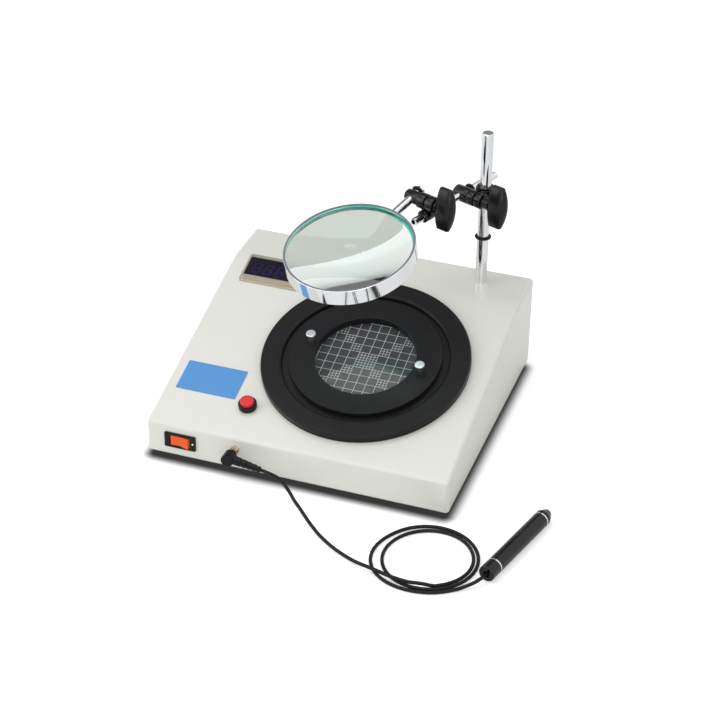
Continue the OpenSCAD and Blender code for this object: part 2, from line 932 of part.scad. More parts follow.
module lamp_clips() {
  color("#b0b0b0")
    at_stage()
      for (i = [0 : 2])
        rotate([0, 0, 90 + 120 * i - clip_angle / 2])
          rotate_extrude(angle = clip_angle)
            difference() {
              union() {
                translate([lamp_circle, lamp_h]) circle(r = lamp_radius + fit + clip_wall);
                translate([lamp_circle - clip_wall, -well_depth + well_wall])
                  square([2 * clip_wall, well_depth - well_wall + lamp_h - lamp_radius]);
              }
              translate([lamp_circle, lamp_h]) circle(r = lamp_radius + fit);
              translate([lamp_circle - lamp_radius, lamp_h + lamp_radius / 2])
                square([2 * lamp_radius, 2 * lamp_radius]);
            }
}

module dish_ring() {
  color("#262626")
    at_stage()
      difference() {
        rotate_extrude($fn = 128) {
          crowned(dish_radius, ring_radius, ring_bottom, ring_top, ring_fillet);
          translate([dish_radius, spigot_bottom])
            square([bore_radius - 1.5 * fit - dish_radius, ring_bottom - spigot_bottom + over]);
        }
        at_posts()
          translate([0, 0, -post_spigot_depth]) cylinder(r = post_spigot + fit, h = 2 * post_spigot_depth);
      }
}

module at_posts() {
  for (turn = [-post_turn, 180 - post_turn])
    rotate([0, 0, turn]) translate([post_circle, 0, ring_top]) children();
}

module ring_posts() {
  color("#d8d8d8")
    at_stage()
      at_posts() {
        translate([0, 0, -post_spigot_depth + fit]) cylinder(r = post_spigot, h = post_spigot_depth);
        cylinder(r = post_stem, h = post_height - post_head_height + over);
        rotate_extrude()
          intersection() {
            band(-post_head, post_head, post_height - post_head_height, post_height, post_fillet);
            square([post_head, 2 * post_height]);
          }
      }
}

// Display
module display_bezel() {
  color("#cfc4ae")
    at_panel(display_x, display_s)
      difference() {
        union() {
          translate([0, 0, -bezel_depth])
            linear_extrude(bezel_depth + bezel_step) rounded_rect(bezel_width, bezel_length, bezel_corner);
          linear_extrude(bezel_height)
            rounded_rect(bezel_width - 2 * bezel_ledge, bezel_length - 2 * bezel_ledge, bezel_corner);
        }
        translate([0, 0, -over])
          linear_extrude(bezel_height + 2 * over) rounded_rect(window_width, window_length, window_corner);
        translate([0, 0, -bezel_depth - over])
          linear_extrude(bezel_depth + over + pane_top)
            square([pane_width, pane_length], center = true);
      }
}

module display_window() {
  color("#1d1530")
    at_panel(display_x, display_s, pane_bottom)
      linear_extrude(pane_thickness)
        square([pane_width - 4 * fit, pane_length - 4 * fit], center = true);
}

module digit_blocks() {
  color("#2a2a2a")
    at_panel(display_x, display_s, board_h)
      for (i = [0 : digits - 1])
        translate([(i - (digits - 1) / 2) * digit_pitch, 0, 0])
          linear_extrude(pane_bottom - board_h)
            square([digit_pitch - digit_gap, digit_length], center = true);
}

module display_board() {
  color("#2f6b3c")
    at_panel(display_x, display_s) {
      translate([0, 0, board_h - board_thickness])
        linear_extrude(board_thickness)
          square([bezel_width - bezel_corner, bezel_length - bezel_corner], center = true);
      for (x = [-1, 1], y = [-1, 1])
        translate([x * bezel_width / 3, y * (window_length / 2 + pane_margin + spacer_radius), board_h])
          cylinder(r = spacer_radius, h = -bezel_depth - board_h);
    }
}

module counter_board() {
  color("#2f6b3c")
    translate([counter_x, counter_y, base_z]) {
      for (x = [-1, 1], y = [-1, 1])
        translate([x * (board_width / 2 - board_edge), y * (board_length / 2 - board_edge), 0])
          cylinder(r = standoff_radius, h = standoff_height);
      translate([-board_width / 2, -board_length / 2, standoff_height])
        cube([board_width, board_length, board_thickness]);
      for (i = [-1 : 1])
        translate([i * chip_step - chip_width / 2, -chip_length / 2, standoff_height])
          cube([chip_width, chip_length, board_thickness + chip_height]);
      translate([-chip_step, board_length / 2 - board_edge - capacitor_radius, standoff_height])
        cylinder(r = capacitor_radius, h = board_thickness + capacitor_height);
    }
}

module transformer() {
  color("#7a5a3a")
    translate([transformer_x, transformer_y, base_z])
      union() {
        translate([-core_width / 2, -core_depth / 2, 0]) cube([core_width, core_depth, core_height]);
        translate([-coil_width / 2, -coil_depth / 2, (core_height - coil_height) / 2])
          cube([coil_width, coil_depth, coil_height]);
        translate([-core_width / 2 - transformer_foot, -core_depth / 2, 0])
          cube([core_width + 2 * transformer_foot, core_depth, transformer_strap]);
      }
}

// Controls
module switch_body() {
  color("#1e1e1e")
    at_front(switch_x, switch_z)
      difference() {
        union() {
          linear_extrude(switch_face) rounded_rect(switch_width, switch_bezel_height, switch_corner);
          translate([0, 0, -housing_depth])
            linear_extrude(housing_depth + over) square([housing_width, housing_height], center = true);
          for (x = [-1, 0, 1])
            translate([x * housing_width / 3, 0, -housing_depth - blade_length])
              linear_extrude(blade_length + over) square([blade_thickness, blade_width], center = true);
        }
        translate([0, 0, rocker_pivot - pocket_depth])
          linear_extrude(pocket_depth - rocker_pivot + switch_face + over)
            square([rocker_length + 2 * rocker_gap, rocker_height + 2 * rocker_gap], center = true);
        translate([0, 0, rocker_pivot])
          rotate([90, 0, 0])
            cylinder(r = rocker_pin + fit, h = rocker_pin_length + 2 * rocker_gap, center = true);
      }
}

module power_rocker() {
  color("#f0681e")
    at_front(switch_x, switch_z)
      translate([0, 0, rocker_pivot])
        rotate([90, 0, 0]) {
          rotate([0, 0, rocker_turn / 2])
            linear_extrude(rocker_height, center = true)
              intersection() {
                circle(r = rocker_length / 2);
                polygon([
                  [-rocker_length, rocker_middle + 2 * (rocker_end - rocker_middle)],
                  [0, rocker_middle],
                  [rocker_length, rocker_middle + 2 * (rocker_end - rocker_middle)],
                  [rocker_length / 3, -rocker_low],
                  [-rocker_length / 3, -rocker_low]
                ]);
              }
          cylinder(r = rocker_pin, h = rocker_pin_length, center = true);
        }
}

module button_collar() {
  color("#1a1a1a")
    at_panel(button_x, button_s)
      difference() {
        rotate_extrude() {
          intersection() {
            band(-collar_radius, collar_radius, 0, collar_height, collar_fillet);
            square([collar_radius, 2 * collar_height]);
          }
          square([collar_radius - collar_fillet, collar_height - collar_fillet]);
          translate([0, -button_bush_depth]) square([button_bush, button_bush_depth + over]);
        }
        translate([0, 0, collar_floor]) cylinder(r = cap_radius + cap_gap, h = collar_height);
        translate([0, 0, -button_bush_depth + bush_wall])
          cylinder(r = button_stem + fit, h = button_bush_depth + over);
      }
}

module button_nut() {
  color("#c0c0c0")
    at_panel(button_x, button_s, -sheet_under - button_nut_height)
      difference() {
        cylinder(r = button_nut_radius, h = button_nut_height, $fn = 6);
        translate([0, 0, -over]) cylinder(r = button_bush + fit, h = button_nut_height + 2 * over);
      }
}

module push_button() {
  color("#e02830")
    at_panel(button_x, button_s) {
      rotate_extrude()
        intersection() {
          crowned(-cap_radius, cap_radius, cap_bottom, cap_top, cap_fillet);
          square([cap_radius, 2 * cap_top]);
        }
      translate([0, 0, stem_bottom]) cylinder(r = button_stem, h = cap_bottom - stem_bottom + over);
    }
}

module jack_socket() {
  color("#b9a26a")
    at_front(jack_x, jack_z)
      difference() {
        union() {
          translate([0, 0, -sheet_under - over]) cylinder(r = jack_bush, h = sheet_under + over + jack_proud);
          translate([-jack_body / 2, -jack_body / 2, -sheet_under - jack_body_depth])
            cube([jack_body, jack_body, jack_body_depth]);
        }
        translate([0, 0, -jack_body_depth + over]) cylinder(r = jack_bore, h = 2 * jack_body_depth);
      }
}

module jack_nut() {
  color("#cfc6b0")
    at_front(jack_x, jack_z)
      rotate_extrude() crowned(jack_bush + fit, jack_nut_radius, 0, jack_nut_height, jack_nut_fillet);
}

// Support rod and the rod clamp
module support_rod() {
  color("#d8dce0") {
    at_rod(0) {
      cylinder(r = rod_radius, h = rod_height - rod_chamfer);
      translate([0, 0, rod_height - rod_chamfer])
        cylinder(r1 = rod_radius, r2 = rod_radius - rod_chamfer, h = rod_chamfer);
    }
    at_rod(-rod_tail_length) cylinder(r = rod_tail, h = rod_tail_length + over);
  }
}

module rod_nut() {
  color("#b8b8b8")
    at_rod(-sheet_under)
      difference() {
        union() {
          translate([0, 0, -rod_nut_flange_height]) cylinder(r = rod_nut_flange, h = rod_nut_flange_height);
          translate([0, 0, -rod_nut_height - rod_nut_flange_height])
            cylinder(r = rod_nut_radius, h = rod_nut_height + over, $fn = 6);
        }
        translate([0, 0, -rod_tail_length]) cylinder(r = rod_tail + fit, h = 2 * rod_tail_length);
      }
}

module rod_stop() {
  color("#161616") at_rod(stop_height) o_ring(rod_radius);
}

module clamp_bush() {
  color("#1c1c1c")
    at_clamp()
      difference() {
        union() {
          translate([0, 0, -bush_low]) cylinder(r = bush_radius, h = 2 * bush_low);
          translate([0, 0, rod_jaw_radius + face_gap])
            rotate_extrude()
              intersection() {
                crowned(-collar_outer, collar_outer, 0, bush_collar_height, bush_fillet);
                square([2 * bush_radius, 2 * bush_collar_height]);
              }
        }
        cylinder(r = rod_radius + fit, h = 4 * bush_low, center = true);
      }
}

// One jaw of a clamp: a disc on the bolt, with a lip that grips half round the rod, on one side of the slot
module clamp_jaw(side, disc, face, offset, grip) {
  lip = grip + lip_thickness;
  intersection() {
    difference() {
      union() {
        translate([0, -offset, 0]) along_x() cylinder(r = disc, h = 2 * face, center = true);
        cylinder(r = lip, h = 2 * disc, center = true);
      }
      cylinder(r = grip + fit, h = 4 * disc, center = true);
      translate([0, -offset, 0]) along_x() cylinder(r = stud_radius + fit, h = 4 * face, center = true);
    }
    translate([side * (jaw_slot / 2 + 2 * face), -offset / 2, 0])
      cube([4 * face, offset + 4 * disc + 4 * lip, 4 * disc], center = true);
  }
}

module rod_jaw(side) {
  color("#2a2320")
    at_clamp()
      clamp_jaw(side, rod_jaw_radius, rod_jaw_face, rod_bolt_offset, bush_radius);
}

module rod_jaw_inner() {
  rod_jaw(-1);
}

module rod_jaw_outer() {
  rod_jaw(1);
}

// A knob on a stud: a hub and an upright grip with bowed sides and a rounded face
module knob_side(side) {
  translate([0, side * (knob_bow - knob_half_width), 0]) cylinder(r = knob_bow, h = rim_width, $fn = knob_fn);
}

module knob_face() {
  along_x()
    rotate_extrude()
      intersection() {
        translate([knob_half_width - knob_bow, 0]) circle(r = knob_bow, $fn = knob_fn);
        translate([0, -knob_radius]) square([knob_half_width, 2 * knob_radius]);
      }
}

module knob_grip() {
  intersection() {
    translate([-knob_radius, -knob_half_width, 0])
      cube([2 * knob_radius, 2 * knob_half_width, rim_width]);
    knob_side(-1);
    knob_side(1);
  }
  translate([0, 0, rim_width])
    intersection() {
      knob_face();
      translate([-2 * knob_radius, -knob_radius, -over])
        cube([4 * knob_radius, 2 * knob_radius, knob_radius]);
    }
}

module clamp_knob(hub_length, turn = 0) {
  difference() {
    union() {
      cylinder(r = hub_radius, h = hub_length + over);
      translate([0, 0, hub_length]) rotate([0, 0, turn - knob_lean]) knob_grip();
    }
    translate([0, 0, -over]) cylinder(r = stud_radius + fit, h = over + hub_length + knob_bore_depth);
  }
}

module rod_clamp_knob() {
  color("#1b1b1b")
    at_rod_bolt() translate([rod_jaw_face + face_gap, 0, 0]) along_x() clamp_knob(rod_hub_length);
}

// Cross head: it turns on the rod clamp's bolt, which is its stud, and holds the cross rod
module head_form(radius, near, far) {
  translate([-far, 0, 0]) along_x() {
    cylinder(r1 = radius - head_chamfer, r2 = radius, h = head_chamfer);
    translate([0, 0, head_chamfer]) cylinder(r = radius, h = far - near - head_chamfer);
  }
}

module stud(near, face, hub_length) {
  translate([-near - over, 0, 0])
    along_x()
      cylinder(r = stud_radius, h = near + over + face + face_gap + hub_length + knob_bore_depth - face_gap);
}

module cross_head() {
  color("#33302e")
    at_rod_bolt()
      difference() {
        union() {
          head_form(rod_jaw_radius, rod_jaw_face + face_gap, cross_head_end);
          stud(rod_jaw_face + face_gap, rod_jaw_face, rod_hub_length);
        }
        translate([-cross_reach, 0, 0])
          rotate([90, 0, 0]) cylinder(r = cross_radius + fit, h = 4 * rod_jaw_radius, center = true);
      }
}

module cross_rod() {
  color("#d8dce0")
    at_cross()
      difference() {
        translate([0, 0, -cross_front]) cylinder(r = cross_radius, h = cross_front + cross_rear);
        translate([0, 0, -cross_front - over])
          cylinder(r = cross_bore, h = cross_front + cross_rear + 2 * over);
      }
}

module cross_stop() {
  color("#161616") at_cross() translate([0, 0, cross_stop_distance]) o_ring(cross_radius);
}

// Arm clamp on the cross rod
module arm_jaw(side) {
  color("#24211f")
    at_arm()
      clamp_jaw(side, arm_jaw_radius, arm_jaw_face, arm_bolt_offset, cross_radius);
}

module arm_jaw_inner() {
  arm_jaw(-1);
}

module arm_jaw_outer() {
  arm_jaw(1);
}

module arm_clamp_knob() {
  color("#1b1b1b")
    at_arm_bolt() translate([arm_jaw_face + face_gap, 0, 0]) along_x() clamp_knob(arm_hub_length, 90);
}

module swivel_head() {
  color("#33302e")
    at_arm_bolt()
      difference() {
        union() {
          head_form(swivel_radius, arm_jaw_face + face_gap, swivel_end);
          stud(arm_jaw_face + face_gap, arm_jaw_face, arm_hub_length);
        }
        translate([-handle_reach, 0, 0])
          rotate([lens_tilt, 0, 0]) cylinder(r = handle_radius + fit, h = 4 * swivel_radius, center = true);
        translate([-handle_reach, 0, 0])
          rotate([90 + lens_tilt, 0, 0]) cylinder(r = head_screw_radius + fit, h = 2 * swivel_radius);
      }
}

module head_screw() {
  color("#4a4a4a")
    at_handle()
      rotate([90, 0, 0])
        translate([0, 0, handle_radius + 2 * fit]) cylinder(r = head_screw_radius, h = head_screw_length);
}

// Lens
module lens_handle() {
  color("#d8dce0")
    at_handle() {
      translate([0, 0, -lens_reach + lens_ring_radius + fit])
        cylinder(r = handle_radius, h = lens_reach - lens_ring_radius - fit + handle_tail);
      translate([0, 0, -lens_reach + lens_seat_radius + fit])
        cylinder(r = handle_spigot, h = lens_ring_wall + over);
    }
}

module handle_stop() {
  color("#161616") at_handle() translate([0, 0, handle_stop_distance]) o_ring(handle_radius);
}

module lens_ring() {
  color("#dfe3e6")
    at_lens()
      difference() {
        rotate_extrude($fn = 128) {
          band(lens_seat_radius, lens_ring_radius, -lens_ring_depth / 2, lens_ring_depth / 2, lens_fillet);
          translate([lip_radius, glass_lift + glass_reach])
            square([lens_lip + lens_ring_wall / 2, lens_lip_height]);
        }
        rotate([-90, 0, 0])
          translate([0, 0, lens_seat_radius - over])
            cylinder(r = handle_spigot + fit, h = lens_ring_wall + 2 * over);
      }
}

module lens_glass() {
  color("#cfe4e2")
    at_glass()
      rotate_extrude($fn = 128)
        intersection() {
          translate([0, lens_edge / 2 + lens_rise - lens_sphere]) circle(r = lens_sphere, $fn = lens_fn);
          translate([0, lens_sphere - lens_edge / 2 - lens_rise]) circle(r = lens_sphere, $fn = lens_fn);
          translate([0, -lens_edge / 2 - lens_rise]) square([lens_radius, lens_edge + 2 * lens_rise]);
        }
}

module lens_retainer() {
  color("#c8ccd0")
    at_glass()
      rotate_extrude($fn = 128)
        translate([lip_radius, -glass_reach - retainer_height]) square([lens_lip - fit, retainer_height]);
}

// Probe: plug, sleeve, lead, coil, tail and pen
module jack_plug() {
  color("#181818") {
    at_front(jack_x, jack_z) {
      translate([0, 0, jack_proud - plug_pin_length]) cylinder(r = plug_pin, h = plug_pin_length + over);
      translate([0, 0, jack_proud]) cylinder(r = plug_collar, h = elbow_distance - jack_proud);
      rotate_extrude()
        intersection() {
          translate([0, elbow_distance])
            band(-elbow_radius, elbow_radius, -elbow_radius, elbow_radius, elbow_fillet);
          square([elbow_radius, 2 * elbow_distance]);
        }
    }
    at_elbow_sleeve() cylinder(r = barrel_radius, h = barrel_reach);
  }
}

module plug_sleeve() {
  color("#202020")
    at_elbow_sleeve()
      translate([0, 0, barrel_reach])
        difference() {
          cylinder(r1 = barrel_radius, r2 = sleeve_tip_radius, h = sleeve_length);
          for (i = [1 : rib_count])
            translate([0, 0, 2 * i * rib_pitch])
              rotate_extrude()
                translate([sleeve_radius(2 * i * rib_pitch) - rib_depth, 0]) square([2, rib_pitch / 2]);
        }
}

// A tube swept along a path, square to the given directions at its ends
function path_way(path, i, from, to) =
  i == 0 ? from : i == len(path) - 1 ? to : unit(path[i + 1] - path[i - 1]);
function ring_points(centre, way, radius, sides) =
  let (side = unit(cross(way, [0, 0, 1])), rise = cross(side, way))
  [for (k = [0 : sides - 1])
    centre + radius * (cos(360 * k / sides) * side + sin(360 * k / sides) * rise)];

module tube(path, sides, from, to) {
  count = len(path);
  points = [
    for (i = [0 : count - 1])
      each ring_points(path[i], path_way(path, i, from, to), lead_radius, sides)
  ];
  skin = [
    for (i = [0 : count - 2], k = [0 : sides - 1])
      let (a = i * sides + k, b = i * sides + (k + 1) % sides)
      each [[a, a + sides, b], [b, a + sides, b + sides]]
  ];
  near_cap = [for (k = [1 : sides - 2]) [0, k, k + 1]];
  far = (count - 1) * sides;
  far_cap = [for (k = [1 : sides - 2]) [far, far + k + 1, far + k]];
  polyhedron(points = points, faces = concat(skin, near_cap, far_cap));
}

module probe_lead() {
  color("#2b2b2b") tube(lead_path, 8, sleeve_way, coil_way(coil_start));
}

module probe_coil() {
  color("#2b2b2b") tube(coil_path, 6, coil_way(coil_start), coil_way(coil_end));
}

module probe_tail() {
  color("#2b2b2b") tube(tail_path, 8, coil_way(coil_end), pen_way);
}

module pen_rear_cap() {
  color("#141414")
    at_pen(0)
      difference() {
        rotate_extrude()
          translate([0, pen_cap_length])
            mirror([0, 1])
              intersection() {
                crowned(-pen_radius, pen_radius, 0, pen_cap_length, pen_fillet);
                square([pen_radius, pen_cap_length]);
              }
        translate([0, 0, -over]) cylinder(r = pen_recess, h = over + pen_recess_depth);
      }
}

module pen_barrel() {
  color("#141414") at_pen(pen_cap_length + pen_ring_width) cylinder(r = pen_radius, h = barrel_length);
}

module pen_rings() {
  color("#d0d0d0")
    for (along = [pen_cap_length, pen_cap_length + pen_ring_width + barrel_length])
      at_pen(along) cylinder(r = pen_radius, h = pen_ring_width);
}

module pen_front_cap() {
  color("#141414")
    at_pen(front_cap_start)
      difference() {
        union() {
          cylinder(r = pen_radius, h = pen_nose_length / 3);
          translate([0, 0, pen_nose_length / 3])
            cylinder(r1 = pen_radius, r2 = pen_nose_radius, h = 2 * pen_nose_length / 3);
        }
        translate([0, 0, pen_nose_length - pen_tip_inside - pen_tip_travel - face_gap])
          cylinder(r = pen_tip_radius + fit, h = pen_nose_length);
      }
}

module pen_tip() {
  color("#8a8a8a")
    at_pen(front_cap_start + pen_nose_length - pen_tip_inside) {
      cylinder(r = pen_tip_radius, h = pen_tip_inside + pen_tip_proud - pen_tip_radius);
      translate([0, 0, pen_tip_inside + pen_tip_proud - pen_tip_radius]) sphere(r = pen_tip_radius);
    }
}

top_shell();
bottom_plate();
base_screws();
rubber_feet();
foot_screws();
foot_nuts();
label_plate();
cord_grommet();
stage_flange();
stage_screws();
ruled_glass();
light_well();
lamp_ring();
lamp_clips();
dish_ring();
ring_posts();
display_bezel();
display_window();
digit_blocks();
display_board();
counter_board();
transformer();
switch_body();
power_rocker();
button_collar();
button_nut();
push_button();
jack_socket();
jack_nut();
support_rod();
rod_nut();
rod_stop();
clamp_bush();
rod_jaw_inner();
rod_jaw_outer();
rod_clamp_knob();
cross_head();
cross_rod();
cross_stop();
arm_jaw_inner();
arm_jaw_outer();
arm_clamp_knob();
swivel_head();
head_screw();
lens_handle();
handle_stop();
lens_ring();
lens_glass();
lens_retainer();
jack_plug();
plug_sleeve();
probe_lead();
probe_coil();
probe_tail();
pen_rear_cap();
pen_barrel();
pen_front_cap();
pen_rings();
pen_tip();
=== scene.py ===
import json
import math
import bpy
from mathutils import Matrix, Vector


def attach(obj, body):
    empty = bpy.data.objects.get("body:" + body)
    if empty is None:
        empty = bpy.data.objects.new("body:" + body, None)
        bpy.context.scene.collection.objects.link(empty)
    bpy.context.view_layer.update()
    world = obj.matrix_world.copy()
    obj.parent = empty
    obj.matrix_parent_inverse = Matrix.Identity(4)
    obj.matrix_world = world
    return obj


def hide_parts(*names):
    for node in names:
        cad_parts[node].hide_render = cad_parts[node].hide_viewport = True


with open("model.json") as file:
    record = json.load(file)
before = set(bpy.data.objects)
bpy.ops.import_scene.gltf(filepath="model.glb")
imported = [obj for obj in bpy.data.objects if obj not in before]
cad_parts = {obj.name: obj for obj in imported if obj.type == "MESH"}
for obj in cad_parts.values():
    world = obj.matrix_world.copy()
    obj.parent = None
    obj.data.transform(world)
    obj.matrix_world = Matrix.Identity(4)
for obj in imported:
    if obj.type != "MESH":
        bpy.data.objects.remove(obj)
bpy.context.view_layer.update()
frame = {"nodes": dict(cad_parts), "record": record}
nodes = frame["nodes"]
scene = bpy.context.scene
scene.view_settings.view_transform = "Standard"
print("frame loaded:", len(nodes), "nodes")

# the casing's sloping panel, as in the part's source, in metres
panel = {
    "frontEdge": (0.0, -0.153114, 0.042),  # upper edge of the front wall
    "slope": math.radians(15.4222),
    "stage": (0.0295, 0.127983),           # x and distance up the slope
    "display": (-0.1027, 0.22217),
}


def panelMatrix(x, up, height=0.0):
    return (Matrix.Translation(panel["frontEdge"]) @ Matrix.Rotation(panel["slope"], 4, "X")
            @ Matrix.Translation((x, up, height)))


# camera at the photograph's place, one picture of 724 by 701
cameraSettings = {
    "place": (0.562473, -1.608366, 1.152225),
    "target": (0.017385, -0.007164, 0.073382),
    "roll": math.radians(0.794),
    "lens": 99.175, "sensorWidth": 36.0, "clipEnd": 30.0,
}
cameraData = bpy.data.cameras.new("benchCamera")
cameraData.sensor_fit = "HORIZONTAL"
cameraData.sensor_width = cameraSettings["sensorWidth"]
cameraData.lens = cameraSettings["lens"]
cameraData.clip_end = cameraSettings["clipEnd"]
camera = bpy.data.objects.new("benchCamera", cameraData)
scene.collection.objects.link(camera)
lookAlong = (Vector(cameraSettings["target"]) - Vector(cameraSettings["place"])).normalized()
sideways = lookAlong.cross(Vector((0, 0, 1))).normalized()
upright = sideways.cross(lookAlong)
rolledSide = sideways * math.cos(cameraSettings["roll"]) + upright * math.sin(cameraSettings["roll"])
rolledUp = upright * math.cos(cameraSettings["roll"]) - sideways * math.sin(cameraSettings["roll"])
turned = Matrix((rolledSide, rolledUp, -lookAlong)).transposed().to_4x4()
camera.matrix_world = Matrix.Translation(cameraSettings["place"]) @ turned
scene.camera = camera
print("camera set")


def deselectAll():
    if bpy.context.mode != "OBJECT":
        bpy.ops.object.mode_set(mode="OBJECT")
    bpy.ops.object.select_all(action="DESELECT")


def pick(obj):
    deselectAll()
    obj.select_set(True)
    bpy.context.view_layer.objects.active = obj


# probe cord: the route of the part's source, in metres, as one smooth line
cordSettings = {
    "diameter": 0.0035,
    "exit": (-0.029501, -0.168114, 0.02327),
    "exitWay": (0.984808, 0.0, -0.173648),
    "endRun": 0.004,
    "leadPoints": [
        (-0.013, -0.1695, 0.0203), (-0.005, -0.1705, 0.015), (0.002, -0.1725, 0.008),
        (0.009, -0.1775, 0.003), (0.017, -0.185, 0.0019), (0.027, -0.196, 0.0019),
        (0.037, -0.2065, 0.0019), (0.051, -0.2195, 0.0019), (0.067, -0.231, 0.0019),
        (0.082, -0.2395, 0.0023), (0.095, -0.246, 0.0034), (0.107, -0.2507, 0.005),
        (0.118, -0.2545, 0.006), (0.129, -0.2575, 0.0061), (0.14, -0.2595, 0.0061),
        (0.15, -0.2602, 0.006), (0.157, -0.259, 0.0058), (0.1635, -0.257, 0.0049),
        (0.1695, -0.2548, 0.0032),
    ],
    "tailPoints": [
        (0.194, -0.2503, 0.002), (0.2005, -0.2449, 0.0031),
        (0.207, -0.2406, 0.0056), (0.2112, -0.236, 0.0076),
    ],
    "coilCentre": (0.153, -0.215), "coilHeight": 0.0018,
    "coilStart": -55.0, "coilTurns": 2, "coilSteps": 48,
    "coilRadius": 0.041, "coilPitch": 0.0045,
    "sway": (0.003, 20.0),  # how far the coil is off round, and the turn of that in degrees
    "swells": [(-0.0006, -55.0, 60.0), (-0.003, 150.0, 110.0), (0.005, 575.0, 75.0)],  # size, middle, reach
    "penRear": (0.2145, -0.228, 0.008), "penTurn": math.radians(75), "recess": 0.005,
    "smoothSteps": 6, "sides": 16,
}


def bell(angle, middle, reach):
    away = abs(angle - middle)
    return (1 + math.cos(math.pi * away / reach)) / 2 if away < reach else 0.0


def coilPoint(angle):
    s = cordSettings
    swaySize, swayTurn = s["sway"]
    radius = s["coilRadius"] + s["coilPitch"] * (angle - s["coilStart"]) / 360
    radius += swaySize * math.cos(math.radians(angle + swayTurn))
    radius += sum(size * bell(angle, middle, reach) for size, middle, reach in s["swells"])
    turn = math.radians(angle)
    return Vector((s["coilCentre"][0] + radius * math.cos(turn),
                   s["coilCentre"][1] + radius * math.sin(turn), s["coilHeight"]))


def coilWay(angle):
    return (coilPoint(angle + 1) - coilPoint(angle - 1)).normalized()


def smoothLine(points, steps):
    # a curve through every point, straight in the first and last span
    line = []
    for i in range(len(points) - 1):
        b, c = points[i], points[i + 1]
        if i in (0, len(points) - 2):
            line += [b, (b + c) / 2]
            continue
        a, d = points[i - 1], points[i + 2]
        for k in range(steps):
            t = k / steps
            line.append(0.5 * (2 * b + (c - a) * t + (2 * a - 5 * b + 4 * c - d) * t * t
                               + (3 * b - a - 3 * c + d) * t ** 3))
    return line + [points[-1]]


def cordRoute():
    s = cordSettings
    first, last = s["coilStart"], s["coilStart"] + 360 * s["coilTurns"]
    exitPoint, exitWay = Vector(s["exit"]), Vector(s["exitWay"])
    penWay = Vector((math.cos(s["penTurn"]), math.sin(s["penTurn"]), 0))
    penRear = Vector(s["penRear"])
    lead = [exitPoint, exitPoint + exitWay * s["endRun"]]
    lead += [Vector(p) for p in s["leadPoints"]]
    lead += [coilPoint(first) - coilWay(first) * s["endRun"], coilPoint(first)]
    count = s["coilSteps"] * s["coilTurns"]
    coil = [coilPoint(first + 360 * i / s["coilSteps"]) for i in range(1, count)]
    tail = [coilPoint(last), coilPoint(last) + coilWay(last) * s["endRun"]]
    tail += [Vector(p) for p in s["tailPoints"]]
    tail += [penRear - penWay * s["endRun"], penRear + penWay * s["recess"]]
    return smoothLine(lead, s["smoothSteps"]) + coil + smoothLine(tail, s["smoothSteps"])


cordPoints = cordRoute()
cordCurve = bpy.data.curves.new("probeCord", "CURVE")
cordCurve.dimensions = "3D"
cordCurve.bevel_depth = cordSettings["diameter"] / 2
cordCurve.bevel_resolution = cordSettings["sides"] // 4 - 1
cordCurve.use_fill_caps = True
cordSpline = cordCurve.splines.new("POLY")
cordSpline.points.add(len(cordPoints) - 1)
for splinePoint, place in zip(cordSpline.points, cordPoints):
    splinePoint.co = (*place, 1.0)
probeCord = bpy.data.objects.new("probeCord", cordCurve)
scene.collection.objects.link(probeCord)
pick(probeCord)
bpy.ops.object.convert(target="MESH")
probeCord = bpy.context.view_layer.objects.active
bpy.ops.object.shade_smooth()
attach(probeCord, "casing")
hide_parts("probe_lead", "probe_coil", "probe_tail")


# colours are written as sRGB hex values
def hexColour(code):
    values = [int(code[i:i + 2], 16) / 255 for i in (1, 3, 5)]
    return tuple(v / 12.92 if v <= 0.04045 else ((v + 0.055) / 1.055) ** 2.4 for v in values) + (1.0,)


def addNode(tree, kind, settings=None, links=None):
    node = tree.nodes.new(kind)
    for key, value in (settings or {}).items():
        if isinstance(key, int) or key in node.inputs:
            node.inputs[key].default_value = value
        else:
            setattr(node, key, value)
    for key, source in (links or {}).items():
        tree.links.new(source, node.inputs[key])
    return node


def newMaterial(name, **settings):
    material = bpy.data.materials.new(name)
    material.use_nodes = True
    tree = material.node_tree
    tree.nodes.clear()
    shader = addNode(tree, "ShaderNodeBsdfPrincipled", settings)
    addNode(tree, "ShaderNodeOutputMaterial", links={"Surface": shader.outputs[0]})
    place = addNode(tree, "ShaderNodeTexCoord").outputs["Object"]
    return material, tree, shader, place


def perMetre(millimetres):
    return 1000.0 / millimetres  # texture scale that gives cells of this size


# the pieces that patterns are built from; a noise is given by its size in mm and its detail
def addNoise(tree, place, size, detail):
    return addNode(tree, "ShaderNodeTexNoise", {"Scale": perMetre(size), "Detail": detail},
                   {"Vector": place}).outputs["Fac"]


def twoTone(tree, share, colour, shade):
    return addNode(tree, "ShaderNodeMix", {"data_type": "RGBA", 6: hexColour(colour), 7: hexColour(shade)},
                   {0: share}).outputs[2]


def between(tree, share, least, most):
    return addNode(tree, "ShaderNodeMapRange", {3: least, 4: most}, {0: share}).outputs[0]


def addBump(tree, height, strength, depth):
    return addNode(tree, "ShaderNodeBump", {"Strength": strength, "Distance": depth},
                   {"Height": height}).outputs[0]


def localPlace(tree, place, centre, turn, unit=1.0):
    return addNode(tree, "ShaderNodeMapping",
                   {"vector_type": "TEXTURE", "Location": centre, "Rotation": turn, "Scale": (unit,) * 3},
                   {"Vector": place}).outputs[0]


def fromAxis(tree, local):
    flat = addNode(tree, "ShaderNodeVectorMath", {"operation": "MULTIPLY", 1: (1, 1, 0)}, {0: local})
    return addNode(tree, "ShaderNodeVectorMath", {"operation": "LENGTH"}, {0: flat.outputs[0]}).outputs["Value"]


def joinTo(tree, shader, sources):
    for socket, source in sources.items():
        tree.links.new(source, shader.inputs[socket])


